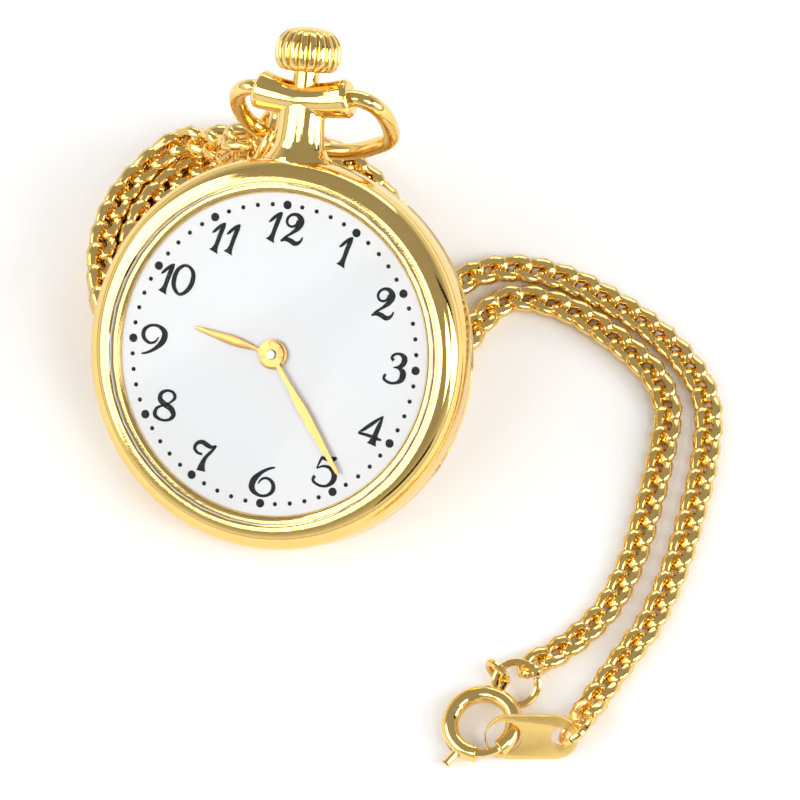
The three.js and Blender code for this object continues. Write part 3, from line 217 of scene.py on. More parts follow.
def metal(name, light, deep, smooth, rough, blotch_scale=180, bump=0.02, metallic=1.0):
    """A plated or solid metal: its colour and roughness vary over the surface."""
    found = bpy.data.materials.get(name)
    if found:
        return found
    material = bpy.data.materials.new(name)
    material.use_nodes = True
    nodes, links = material.node_tree.nodes, material.node_tree.links
    shader = nodes["Principled BSDF"]
    shader.inputs["Metallic"].default_value = metallic
    effect = nodes.new("ShaderNodeGroup")
    effect.node_tree = handled_group()
    effect.inputs["Blotch scale"].default_value = blotch_scale
    effect.inputs["Hairline scale"].default_value = blotch_scale * 5
    mix = nodes.new("ShaderNodeMix")
    mix.data_type = "RGBA"
    mix.inputs[6].default_value = (*light, 1)
    mix.inputs[7].default_value = (*deep, 1)
    links.new(effect.outputs["Blotch"], mix.inputs["Factor"])
    links.new(mix.outputs[2], shader.inputs["Base Color"])
    gloss = nodes.new("ShaderNodeMapRange")
    gloss.inputs["To Min"].default_value = smooth
    gloss.inputs["To Max"].default_value = rough
    links.new(effect.outputs["Hairlines"], gloss.inputs["Value"])
    links.new(gloss.outputs["Result"], shader.inputs["Roughness"])
    relief = nodes.new("ShaderNodeBump")
    relief.inputs["Strength"].default_value = bump
    relief.inputs["Distance"].default_value = 0.00005
    links.new(effect.outputs["Hairlines"], relief.inputs["Height"])
    links.new(relief.outputs["Normal"], shader.inputs["Normal"])
    return material


def polished_gold():
    return metal("polished gold plate", tuple(sizes().gold), tuple(sizes().gold_deep), 0.06, 0.16)


def chain_gold():
    light, deep = tuple(sizes().gold), tuple(sizes().gold_deep)
    return metal("diamond-cut gold plate", light, deep, 0.12, 0.26, 420)


def satin_gold():
    return metal("satin gold plate", tuple(sizes().gold), tuple(sizes().gold_deep), 0.3, 0.5, 500, 0.2)


def gilt_leaf():
    return metal("gilt leaf", tuple(sizes().leaf), (0.66, 0.4, 0.12), 0.3, 0.42, 700, 0.05)


def grey_steel():
    return metal("turned steel", (0.55, 0.54, 0.53), (0.42, 0.41, 0.4), 0.25, 0.42, 600, 0.1)


def matt_brass():
    return metal("matt plated brass", (0.72, 0.52, 0.2), (0.62, 0.42, 0.14), 0.35, 0.5, 500, 0.1)


def copper_winding():
    return metal("lacquered copper", (0.62, 0.26, 0.1), (0.45, 0.16, 0.06), 0.35, 0.5, 900, 0.2)


def coated(name, light, deep, smooth, rough, scale=500, bump=0.03, alpha=None, coat=0.0):
    """Lacquer, plastic or rubber: no metal, with a fine tooth."""
    found = bpy.data.materials.get(name)
    if found:
        return found
    material = metal(name, light, deep, smooth, rough, scale, bump, 0.0)
    shader = material.node_tree.nodes["Principled BSDF"]
    shader.inputs["Coat Weight"].default_value = coat
    if alpha is not None:
        material.surface_render_method = "BLENDED"
        rim = material.node_tree.nodes.new("ShaderNodeFresnel")
        rim.inputs["IOR"].default_value = 1.3
        strength = material.node_tree.nodes.new("ShaderNodeMapRange")
        strength.inputs["To Min"].default_value = alpha
        strength.inputs["To Max"].default_value = 0.75
        material.node_tree.links.new(rim.outputs["Fac"], strength.inputs["Value"])
        material.node_tree.links.new(strength.outputs["Result"], shader.inputs["Alpha"])
    return material


def white_dial():
    deep = tuple(0.985 * value for value in sizes().enamel)
    return coated("white dial lacquer", tuple(sizes().enamel), deep, 0.28, 0.36, 300, 0.01, coat=0.4)


def black_ink():
    material = coated("printing ink", tuple(sizes().ink), (0.006, 0.006, 0.006), 0.45, 0.6, 900)
    material.node_tree.nodes["Principled BSDF"].inputs["Specular IOR Level"].default_value = 0.15
    return material


def clear_crystal():
    return coated("clear crystal", (0.4, 0.41, 0.43), (0.46, 0.46, 0.48), 0.02, 0.05, 60, 0.0,
                  alpha=0.006)


def hard_rubber():
    return coated("gasket rubber", (0.02, 0.02, 0.021), (0.035, 0.035, 0.036), 0.6, 0.8, 900, 0.2)


def pale_nylon():
    return coated("pale nylon", (0.78, 0.75, 0.68), (0.72, 0.69, 0.61), 0.4, 0.55, 700, 0.1)


def green_board():
    return coated("circuit board", (0.02, 0.12, 0.05), (0.014, 0.09, 0.04), 0.35, 0.5, 900, 0.1)


def chip_resin():
    return coated("chip resin", (0.015, 0.015, 0.016), (0.03, 0.03, 0.03), 0.45, 0.6, 900, 0.1)


# ---- Modelling helpers ----
def alone(piece):
    bpy.ops.object.select_all(action="DESELECT")
    piece.select_set(True)
    bpy.context.view_layer.objects.active = piece


def turned(name, profile, steps=144, axis=(0, 0, 1), closed=True):
    """A turned solid: a line of [radius, height] points spun round an axis, like a lathe's work."""
    across = Vector((1, 0, 0)) if axis[0] == 0 else Vector((0, 1, 0))
    up = Vector(axis)
    line = [across * radius + up * height for radius, height in profile]
    if closed:
        line.append(line[0])
    bpy.ops.object.select_all(action="DESELECT")
    bpy.ops.mesh.primitive_plane_add(size=0.1)
    piece = bpy.context.active_object
    piece.name = piece.data.name = name
    bpy.ops.object.mode_set(mode="EDIT")
    bpy.ops.mesh.select_mode(type="VERT")
    bpy.ops.mesh.select_all(action="SELECT")
    bpy.ops.mesh.merge(type="CENTER")
    bpy.ops.transform.translate(value=line[0])
    for here, there in zip(line, line[1:]):
        bpy.ops.mesh.extrude_region_move(TRANSFORM_OT_translate={"value": there - here})
    bpy.ops.mesh.select_all(action="SELECT")
    bpy.ops.mesh.spin(steps=steps, angle=2 * math.pi, center=(0, 0, 0), axis=axis)
    bpy.ops.mesh.select_all(action="SELECT")
    bpy.ops.mesh.remove_doubles(threshold=0.0004)
    bpy.ops.mesh.normals_make_consistent(inside=False)
    bpy.ops.object.mode_set(mode="OBJECT")
    return piece


def wire(name, points, radius, ring=False, sides=16, swell=None):
    """A round wire bent along a line of points; swell gives its share of the radius at each point."""
    bend = bpy.data.curves.new(name, "CURVE")
    bend.dimensions = "3D"
    bend.bevel_depth = radius
    bend.bevel_resolution = max(1, sides // 4 - 1)
    bend.use_fill_caps = not ring
    line = bend.splines.new("POLY")
    line.points.add(len(points) - 1)
    for point, place, share in zip(line.points, points, swell or [1] * len(points)):
        point.co = (*place, 1)
        point.radius = share
    line.use_cyclic_u = ring
    piece = bpy.data.objects.new(name, bend)
    bpy.context.collection.objects.link(piece)
    alone(piece)
    bpy.ops.object.convert(target="MESH")
    piece = bpy.context.active_object
    bpy.ops.object.mode_set(mode="EDIT")
    bpy.ops.mesh.select_all(action="SELECT")
    bpy.ops.mesh.remove_doubles(threshold=0.0004)
    bpy.ops.mesh.normals_make_consistent(inside=False)
    bpy.ops.object.mode_set(mode="OBJECT")
    return piece


def plate(name, outline, low, high):
    """A flat plate with an outline of points, standing from one height to another."""
    mesh = bpy.data.meshes.new(name)
    mesh.from_pydata([(x, y, low) for x, y in outline], [], [list(range(len(outline)))])
    piece = bpy.data.objects.new(name, mesh)
    bpy.context.collection.objects.link(piece)
    alone(piece)
    bpy.ops.object.mode_set(mode="EDIT")
    bpy.ops.mesh.select_all(action="SELECT")
    bpy.ops.mesh.extrude_region_move(TRANSFORM_OT_translate={"value": (0, 0, high - low)})
    bpy.ops.mesh.select_all(action="SELECT")
    bpy.ops.mesh.normals_make_consistent(inside=False)
    bpy.ops.object.mode_set(mode="OBJECT")
    return piece


def combined(piece, other, operation):
    """Joins or cuts one solid with another, and removes the other."""
    alone(piece)
    step = piece.modifiers.new("combine", "BOOLEAN")
    step.operation = operation
    step.solver = "EXACT"
    step.object = other
    bpy.ops.object.modifier_apply(modifier=step.name)
    bpy.data.objects.remove(other)
    return piece


def blended(piece, grain, rounds):
    """Melts the seams of a joined solid into soft fillets, with an even skin of small faces."""
    alone(piece)
    step = piece.modifiers.new("skin", "REMESH")
    step.mode = "VOXEL"
    step.voxel_size = grain
    bpy.ops.object.modifier_apply(modifier=step.name)
    step = piece.modifiers.new("calm", "SMOOTH")
    step.factor = 0.5
    step.iterations = rounds
    bpy.ops.object.modifier_apply(modifier=step.name)
    return piece


def softened(piece, width, segments=2, angle=40):
    alone(piece)
    step = piece.modifiers.new("edge", "BEVEL")
    step.width = width
    step.segments = segments
    step.limit_method = "ANGLE"
    step.angle_limit = math.radians(angle)
    step.use_clamp_overlap = True
    bpy.ops.object.modifier_apply(modifier=step.name)
    return piece


def finished(piece, place, material, body, slot, *nodes, angle=32):
    """Puts a piece in its place with its finish, its body and the CAD nodes it stands for."""
    piece.data.transform(place)
    if place.determinant() < 0:
        raise RuntimeError(f"{piece.name} is mirrored")
    piece.data.update()
    alone(piece)
    bpy.ops.object.shade_smooth_by_angle(angle=math.radians(angle))
    piece.data.materials.clear()
    piece.data.materials.append(material)
    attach(piece, body)
    if nodes:
        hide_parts(*nodes)
    return piece


def arc(centre_x, centre_y, radius_x, radius_y, start, end, steps):
    """Points along an ellipse's arc, in degrees."""
    turns = [math.radians(start + (end - start) * i / steps) for i in range(steps + 1)]
    return [(centre_x + radius_x * math.cos(t), centre_y + radius_y * math.sin(t)) for t in turns]


def smooth_line(points, spacing):
    """An even line of points through a few chosen ones, along a smooth curve."""
    chosen = np.array(points, float)
    ends = [2 * chosen[0] - chosen[1], *chosen, 2 * chosen[-1] - chosen[-2]]
    dense = []
    for a, b, c, d in zip(ends, ends[1:], ends[2:], ends[3:]):
        gaps = (np.linalg.norm(q - p) ** 0.5 + 1e-9 for p, q in ((a, b), (b, c), (c, d)))
        k0, k1, k2, k3 = np.cumsum([0, *gaps])
        for t in np.linspace(k1, k2, 24, endpoint=False):
            ab = (k1 - t) / (k1 - k0) * a + (t - k0) / (k1 - k0) * b
            bc = (k2 - t) / (k2 - k1) * b + (t - k1) / (k2 - k1) * c
            cd = (k3 - t) / (k3 - k2) * c + (t - k2) / (k3 - k2) * d
            abc = (k2 - t) / (k2 - k0) * ab + (t - k0) / (k2 - k0) * bc
            bcd = (k3 - t) / (k3 - k1) * bc + (t - k1) / (k3 - k1) * cd
            dense.append((k2 - t) / (k2 - k1) * abc + (t - k1) / (k2 - k1) * bcd)
    dense = np.array([*dense, chosen[-1]])
    run = np.concatenate([[0], np.cumsum(np.linalg.norm(np.diff(dense, axis=0), axis=1))])
    count = max(2, round(run[-1] / spacing))
    marks = np.linspace(0, run[-1], count + 1)
    return np.stack([np.interp(marks, run, dense[:, axis]) for axis in range(3)], axis=1), run[-1]


# ---- The chain ----
LINK_LEAN = 13  # degrees, each link across the chain
LINK_TWIST = 47  # degrees, from a link's middle to its end


def coil_turns(radius, start, leave, last, drops):
    """Points round the coil, in degrees; it steps down a layer at each drop and widens as it leaves."""
    points = []
    for angle in np.linspace(start, last, round((last - start) / 18) + 1):
        height = LAYERS[2]
        for layer, drop in zip((1, 0), drops):
            share = min(1, max(0, (angle - drop) / 30))
            height -= (LAYERS[layer + 1] - LAYERS[layer]) * share * share * (3 - 2 * share)
        share = min(1, max(0, (angle - leave) / (last - leave)))
        reach = radius + (LEAVING_RADIUS - radius) * share * share * (2 - share)
        turn = math.radians(angle)
        points.append((COIL_CENTRE[0] + reach * math.cos(turn),
                       COIL_CENTRE[1] + reach * math.sin(turn), height))
    return points


def strand_frames(points):
    """Across and upward directions along a strand, carried back from its end, where it lies flat."""
    along = np.gradient(points, axis=0)
    along /= np.linalg.norm(along, axis=1)[:, None]
    up = np.zeros_like(points)
    current = np.array([0.0, 0.0, 1.0])
    for i in range(len(points) - 1, -1, -1):
        current = current - along[i] * current.dot(along[i])
        current /= np.linalg.norm(current)
        up[i] = current
    return along, np.cross(up, along), up


def curb_link(length, width, wire_width):
    """One leaning, twisted oval link as rings of points, with its top and bottom cut flat."""
    radius = wire_width / 2
    lean = math.radians(LINK_LEAN)
    twist = math.radians(LINK_TWIST)
    half_length = length / 2 - radius
    reach = half_length * math.sin(lean)
    half_width = math.sqrt((1.06 * (width / 2 - radius)) ** 2 - reach ** 2) / math.cos(lean)
    flat = radius * 1.27
    rounds, sides = 12, 8
    centre = []
    for i in range(rounds):
        t = 2 * math.pi * i / rounds
        x = half_length * math.copysign(abs(math.cos(t)) ** 0.72, math.cos(t))
        y = half_width * math.copysign(abs(math.sin(t)) ** 0.72, math.sin(t))
        turn = twist * x / half_length
        place = Vector((x, y * math.cos(turn), y * math.sin(turn)))
        centre.append((Matrix.Rotation(lean, 3, "Z") @ place, turn))
    rings = []
    for i, (place, turn) in enumerate(centre):
        way = centre[(i + 1) % rounds][0] - centre[i - 1][0]
        normal = Matrix.Rotation(lean, 3, "Z") @ Vector((0, -math.sin(turn), math.cos(turn)))
        side = way.cross(normal).normalized()
        lift = side.cross(way).normalized()
        ring = []
        for k in range(sides):
            a = 2 * math.pi * (k + 0.5) / sides
            point = place + side * radius * math.cos(a) + lift * radius * math.sin(a)
            point.z = max(-flat, min(flat, point.z))
            ring.append(tuple(point))
        rings.append(ring)
    return rings


def chain_piece(name, points):
    """A curb chain along a line: one link copied from end to end, each link bent to the line."""
    width = sizes().chain_width / MM
    wire_width = sizes().chain_wire / MM
    pitch = sizes().chain_pitch / MM
    line, total = smooth_line(points, 0.4)
    along, across, up = strand_frames(line)
    count = round((total - pitch) / pitch)
    rings = np.array(curb_link(pitch + 2 * wire_width, width, wire_width))
    rounds, sides = rings.shape[:2]
    marks = np.linspace(0, total, len(line))
    verts, faces = [], []
    for n in range(count):
        middle = pitch * 0.75 + n * (total - pitch * 1.5) / (count - 1)
        run = middle + rings[:, :, 0].ravel()
        inside = np.clip(run, 0, total)
        base = np.stack([np.interp(inside, marks, line[:, k]) for k in range(3)], axis=1)
        out = np.stack([np.interp(inside, marks, across[:, k]) for k in range(3)], axis=1)
        top = np.stack([np.interp(inside, marks, up[:, k]) for k in range(3)], axis=1)
        ahead = np.stack([np.interp(inside, marks, along[:, k]) for k in range(3)], axis=1)
        place = (base + out * rings[:, :, 1].ravel()[:, None] + top * rings[:, :, 2].ravel()[:, None]
                 + ahead * (run - inside)[:, None])
        first = len(verts)
        verts.extend(map(tuple, place))
        for i in range(rounds):
            for k in range(sides):
                j, m = (i + 1) % rounds, (k + 1) % sides
                faces.append((first + i * sides + k, first + j * sides + k,
                              first + j * sides + m, first + i * sides + m))
    mesh = bpy.data.meshes.new(name)
    mesh.from_pydata(verts, [], faces)
    piece = bpy.data.objects.new(name, mesh)
    bpy.context.collection.objects.link(piece)
    alone(piece)
    bpy.ops.object.mode_set(mode="EDIT")
    bpy.ops.mesh.select_all(action="SELECT")
    bpy.ops.mesh.normals_make_consistent(inside=False)
    bpy.ops.object.mode_set(mode="OBJECT")
    return piece, [tuple(p * MM) for p in smooth_line(points, 1.0)[0]], total * MM


class WATCH_OT_chain(bpy.types.Operator):
    """Lay both strands of the curb chain, with the coil under the case"""

    bl_idname = "watch.chain"
    bl_label = "Curb chain"

    def execute(self, context):
        clasp_coil = coil_turns(OUTER_COLUMN, 138, 990, 1030, (325, 685))
        tab_coil = coil_turns(INNER_COLUMN, 118, 995, 1055, (330, 690))
        clasp_line = CLASP_DROP + clasp_coil + CLASP_STRAND
        tab_line = TAB_DROP + tab_coil + TAB_STRAND
        inner, inner_path, inner_length = chain_piece("chain_clasp_strand", clasp_line)
        finished(inner, ROW, chain_gold(), "case", "gold", "chain_inner", "chain_left", "chain_coil",
                 angle=56)
        outer, outer_path, outer_length = chain_piece("chain_tab_strand", tab_line)
        finished(outer, ROW, chain_gold(), "case", "gold", "chain_outer", "chain_right", angle=56)
        return {"FINISHED"}


# ---- Clasp, jump ring and tab ----
CLASP_RADIUS = 3.1
CLASP_WIRE = 0.85
FINE_WIRE = 0.38  # radius of the small rings' wire
EYE_CENTRE = (20.7, -33.75, 1.9)
EYE_RADIUS = 1.2
JUMP_CENTRE = (22.5, -34.7, 1.4)
JUMP_RADIUS = 2.05
TAB_CENTRE = (23.9, -40.75, 2.24)
TAB_TILT = 55  # degrees
TAB_HOLES = ((-2.66, 1.72), (2.8, 1.0))  # place along the tab and radius
TAB_LINK_CENTRE = (28.1, -40.3, 2.85)
TAB_LINK_AXIS = (0.6, -0.46, -0.655)
TAB_LINK_RADIUS = 1.6


def bent(radius, start, end, steps=64):
    """Points round a circle in the xy plane, in degrees."""
    return [(x, y, 0) for x, y in arc(0, 0, radius, radius, start, end, steps)]


def facing(centre, axis):
    """A place whose z runs along an axis."""
    turn = Vector((0, 0, 1)).rotation_difference(Vector(axis).normalized()).to_matrix().to_4x4()
    return ROW @ Matrix.Translation(centre) @ turn


def clasp_matrix():
    centre = Vector(JOINTS["clasp_trigger_slide"]["pos_m"])
    lean = math.radians(326)
    tilt = Matrix.Rotation(math.radians(9.5), 4, Vector((math.cos(lean), math.sin(lean), 0)))
    heading = Matrix.Rotation(math.radians(-40), 4, "Z")
    return Matrix.Translation(centre) @ heading @ tilt @ ROW


class WATCH_OT_clasp(bpy.types.Operator):
    """Make the spring ring clasp, its jump ring and the tab with its link"""

    bl_idname = "watch.clasp"
    bl_label = "Clasp"

    def execute(self, context):
        place = clasp_matrix()
        body = wire("clasp_body", bent(CLASP_RADIUS, -18, 300, 90), CLASP_WIRE, sides=28)
        softened(body, 0.12, 3)
        eye_at = place.inverted() @ Matrix.Translation(Vector(EYE_CENTRE) * MM)
        heading = math.radians(45)
        turn = Vector((0, 0, 1)).rotation_difference(Vector((math.cos(heading), math.sin(heading), 0)))
        eye = wire("clasp_eye", bent(EYE_RADIUS, 4, 356, 48), FINE_WIRE, sides=16)
        eye.data.transform(eye_at @ turn.to_matrix().to_4x4() @ ROW)
        down = Vector((math.cos(heading - math.pi / 2), math.sin(heading - math.pi / 2), 0))
        foot = place.inverted() @ ((Vector(EYE_CENTRE) + down * EYE_RADIUS) * MM)
        root = Vector((foot.x, foot.y, 0)).normalized() * (CLASP_RADIUS + 0.35)
        stem = wire("clasp_stem", [tuple(root), tuple((root + foot) / 2), tuple(foot)], 0.36)
        combined(body, eye, "UNION")
        combined(body, stem, "UNION")
        inside = arc(0, 0, 3.35, 3.35, 218, 276, 20)
        outside = arc(0, 0, 4.6, 4.6, 276, 218, 20)
        slot = plate("clasp_slot", inside + outside, -0.34, 0.34)
        combined(body, slot, "DIFFERENCE")
        finished(body, place, polished_gold(), "case", "gold", "clasp_ring", "clasp_spring")

        slider = wire("clasp_slider", bent(CLASP_RADIUS, 252, 350, 40), 0.4, sides=16)
        lever = math.radians(268)
        out = Vector((math.cos(lever), math.sin(lever), 0))
        nib = wire("clasp_nib", [tuple(out * CLASP_RADIUS), tuple(out * 4.4), tuple(out * 5.0),
                                 tuple(out * 5.36)], 0.42)
        combined(slider, nib, "UNION")
        softened(slider, 0.1, 3)
        finished(slider, place, polished_gold(), "clasp_trigger", "gold", "clasp_trigger")

        jump = wire("clasp_jump_ring", bent(JUMP_RADIUS, 20, 377.5, 72), FINE_WIRE, sides=16)
        lean = Matrix.Rotation(math.radians(28), 4, "X")
        jump_place = ROW @ Matrix.Translation(JUMP_CENTRE) @ lean
        finished(jump, jump_place, polished_gold(), "case", "gold", "jump_ring")

        outline = arc(2.15, 0, 2.35, 2.35, -90, 90, 24) + arc(-2.15, 0, 2.35, 2.35, 90, 270, 24)
        tab = plate("tab_plate", outline, -0.25, 0.25)
        for x, radius in TAB_HOLES:
            hole = turned("tab_hole", [(0, -1), (radius, -1), (radius, 1), (0, 1)], 48, closed=False)
            hole.data.transform(Matrix.Translation((x, 0, 0)))
            combined(tab, hole, "DIFFERENCE")
        softened(tab, 0.12, 3)
        tilt = Matrix.Rotation(math.radians(TAB_TILT), 4, "X")
        tab_place = ROW @ Matrix.Translation(TAB_CENTRE) @ tilt
        finished(tab, tab_place, satin_gold(), "case", "gold", "chain_tab")

        link = wire("tab_ring", bent(TAB_LINK_RADIUS, 200, 557.5, 64), FINE_WIRE, sides=16)
        finished(link, facing(TAB_LINK_CENTRE, TAB_LINK_AXIS), polished_gold(), "case",
                 "gold", "tab_link")
        return {"FINISHED"}


# ---- Case ----
class WATCH_OT_case(bpy.types.Operator):
    """Turn the back cover, the middle of the case and the bezel"""

    bl_idname = "watch.case"
    bl_label = "Case"

    def execute(self, context):
        back = turned("case_back_cover", [
            (0, 0), (12.5, 0), *arc(12.5, 2.0, 6.34, 2.0, -80, 0, 12), (18.72, 2.22), (18.54, 2.3),
            (17, 2.3), (17, 2.9), (16.55, 2.9), (16.55, 1.28), (12.5, 0.8), (0, 0.8),
        ], closed=False)
        finished(back, WATCH, polished_gold(), "case", "gold", "case_back")
        band = turned("case_middle", [
            (17.5, 2.35), (18.54, 2.35), (18.74, 2.42), (18.84, 2.65), (18.84, 4.7), (18.76, 4.88),
            (18.6, 4.95), (17.1, 4.95), (17.1, 5.55), (16.5, 5.55), (16.5, 2.95), (17.05, 2.95),
            (17.05, 2.8), (17.5, 2.8),
        ])
        finished(band, WATCH, polished_gold(), "case", "gold", "case_band")
        bezel = turned("case_bezel", [
            (17.15, 5.0), (18.6, 5.0), (18.76, 5.07), *arc(16.9, 5.1, 1.94, 1.85, 3, 90, 16),
            (16.62, 6.93), (16.5, 6.84), (16.5, 6.45), (16.0, 6.45), (16.0, 5.6), (17.15, 5.6),
        ])
        finished(bezel, WATCH, polished_gold(), "case", "gold", "bezel")
        return {"FINISHED"}


# ---- Dial ----
# Each numeral is drawn with strokes: across, up and half-width, in parts of the numeral's height.
STROKES = {
    "0": (0.74, [[(0.36, 1.0, 0.036), (0.16, 0.84, 0.048), (0.045, 0.56, 0.058), (0.06, 0.22, 0.052),
                  (0.26, 0.0, 0.036), (0.5, 0.12, 0.05), (0.68, 0.42, 0.06), (0.69, 0.78, 0.052),
                  (0.54, 0.96, 0.036), (0.36, 1.0, 0.036)]]),
    "1": (0.5, [[(0.53, 1.0, 0.012), (0.46, 0.88, 0.05), (0.35, 0.55, 0.055), (0.25, 0.2, 0.058),
                 (0.2, 0.07, 0.085), (0.17, 0.0, 0.125)],
                [(0.08, 0.63, 0.014), (0.15, 0.69, 0.034), (0.28, 0.82, 0.04), (0.42, 0.93, 0.04),
                 (0.52, 0.99, 0.022)]]),
    "2": (0.84, [[(0.56, 0.79, 0.02), (0.55, 0.66, 0.03), (0.42, 0.56, 0.03), (0.25, 0.6, 0.032),
                  (0.2, 0.78, 0.034), (0.34, 0.95, 0.034), (0.56, 0.96, 0.05), (0.7, 0.78, 0.08),
                  (0.62, 0.55, 0.066), (0.4, 0.34, 0.036), (0.18, 0.18, 0.026), (0.04, 0.04, 0.018)],
                 [(0.03, 0.04, 0.022), (0.2, 0.12, 0.05), (0.38, 0.08, 0.06), (0.56, 0.0, 0.058),
                  (0.72, 0.08, 0.034), (0.8, 0.24, 0.016)]]),
    "3": (0.8, [[(0.37, 0.76, 0.04), (0.29, 0.84, 0.036), (0.37, 0.96, 0.032), (0.56, 1.0, 0.036),
                 (0.74, 0.88, 0.07), (0.7, 0.66, 0.064), (0.52, 0.55, 0.03), (0.38, 0.53, 0.014)],
                [(0.38, 0.53, 0.014), (0.56, 0.52, 0.03), (0.72, 0.4, 0.075), (0.7, 0.16, 0.07),
                 (0.5, 0.02, 0.036), (0.26, 0.01, 0.034), (0.07, 0.13, 0.036), (0.12, 0.28, 0.034)]]),
    "4": (1.0, [[(0.86, 1.0, 0.014), (0.6, 0.8, 0.04), (0.28, 0.54, 0.044), (0.03, 0.35, 0.02)],
                [(0.03, 0.35, 0.03), (0.4, 0.3, 0.04), (0.72, 0.22, 0.04), (0.86, 0.19, 0.022)],
                [(0.86, 1.0, 0.012), (0.76, 0.72, 0.05), (0.62, 0.3, 0.066), (0.56, 0.1, 0.09),
                 (0.53, 0.0, 0.12)]]),
    "5": (0.84, [[(0.33, 1.0, 0.016), (0.3, 0.9, 0.03), (0.2, 0.66, 0.02), (0.17, 0.56, 0.014)],
                 [(0.32, 0.94, 0.03), (0.5, 0.92, 0.06), (0.72, 0.93, 0.062), (0.84, 0.99, 0.03)],
                 [(0.17, 0.56, 0.014), (0.38, 0.66, 0.03), (0.62, 0.63, 0.044), (0.8, 0.45, 0.07),
                  (0.78, 0.2, 0.064), (0.56, 0.01, 0.036), (0.28, 0.01, 0.032), (0.07, 0.15, 0.036),
                  (0.12, 0.31, 0.038)]]),
    "6": (0.88, [[(0.86, 0.99, 0.02), (0.7, 0.95, 0.03), (0.4, 0.78, 0.044), (0.13, 0.48, 0.075),
                  (0.1, 0.2, 0.07), (0.34, 0.01, 0.04), (0.64, 0.02, 0.036), (0.84, 0.2, 0.05),
                  (0.83, 0.44, 0.048), (0.62, 0.6, 0.034), (0.42, 0.55, 0.028), (0.3, 0.38, 0.014)]]),
    "7": (0.82, [[(0.34, 0.57, 0.03), (0.18, 0.6, 0.034), (0.05, 0.74, 0.04), (0.12, 0.92, 0.044),
                  (0.3, 0.98, 0.055), (0.48, 0.9, 0.06), (0.66, 0.84, 0.044), (0.82, 0.9, 0.026)],
                 [(0.82, 0.9, 0.02), (0.68, 0.72, 0.034), (0.46, 0.46, 0.046), (0.36, 0.2, 0.075),
                  (0.34, 0.0, 0.115)]]),
    "8": (0.8, [[(0.36, 0.55, 0.07), (0.22, 0.68, 0.062), (0.24, 0.88, 0.05), (0.44, 1.0, 0.034),
                 (0.66, 0.96, 0.036), (0.74, 0.8, 0.042), (0.6, 0.62, 0.026), (0.36, 0.5, 0.024),
                 (0.12, 0.36, 0.04), (0.08, 0.14, 0.05), (0.3, 0.0, 0.034), (0.58, 0.02, 0.036),
                 (0.74, 0.18, 0.056), (0.66, 0.38, 0.07), (0.36, 0.55, 0.07)]]),
}
SIX_WIDTH, SIX_STROKES = STROKES["6"]
STROKES["9"] = (SIX_WIDTH, [[(SIX_WIDTH - x, 1 - y, half) for x, y, half in line]
                            for line in SIX_STROKES])
NUMERAL_GAP = 0.02
STROKE_WEIGHT = 1.42


def stroke_faces(line, offset, height, verts, faces):
    """Adds one pen stroke as a strip of faces."""
    chosen = [(x + offset, y, half) for x, y, half in line]
    even, _ = smooth_line(chosen, 0.05)
    spine = even[:, :2] * height
    halves = even[:, 2] * height * STROKE_WEIGHT
    way = np.gradient(spine, axis=0)
    way /= np.linalg.norm(way, axis=1)[:, None]
    side = np.stack([-way[:, 1], way[:, 0]], axis=1) * halves[:, None]
    first = len(verts)
    for left, right in zip(spine + side, spine - side):
        verts.append((left[0], left[1], 0))
        verts.append((right[0], right[1], 0))
    for i in range(len(spine) - 1):
        a = first + 2 * i
        faces.append((a + 1, a + 3, a + 2, a))


def numeral_width(text):
    return sum(STROKES[mark][0] for mark in text) + NUMERAL_GAP * (len(text) - 1)


def dial_dot(size, steps):
    outline = [(0, 0), (size, 0), (size * 0.97, 0.02), (0, 0.026)]
    return turned("dial_dot", outline, steps, closed=False)


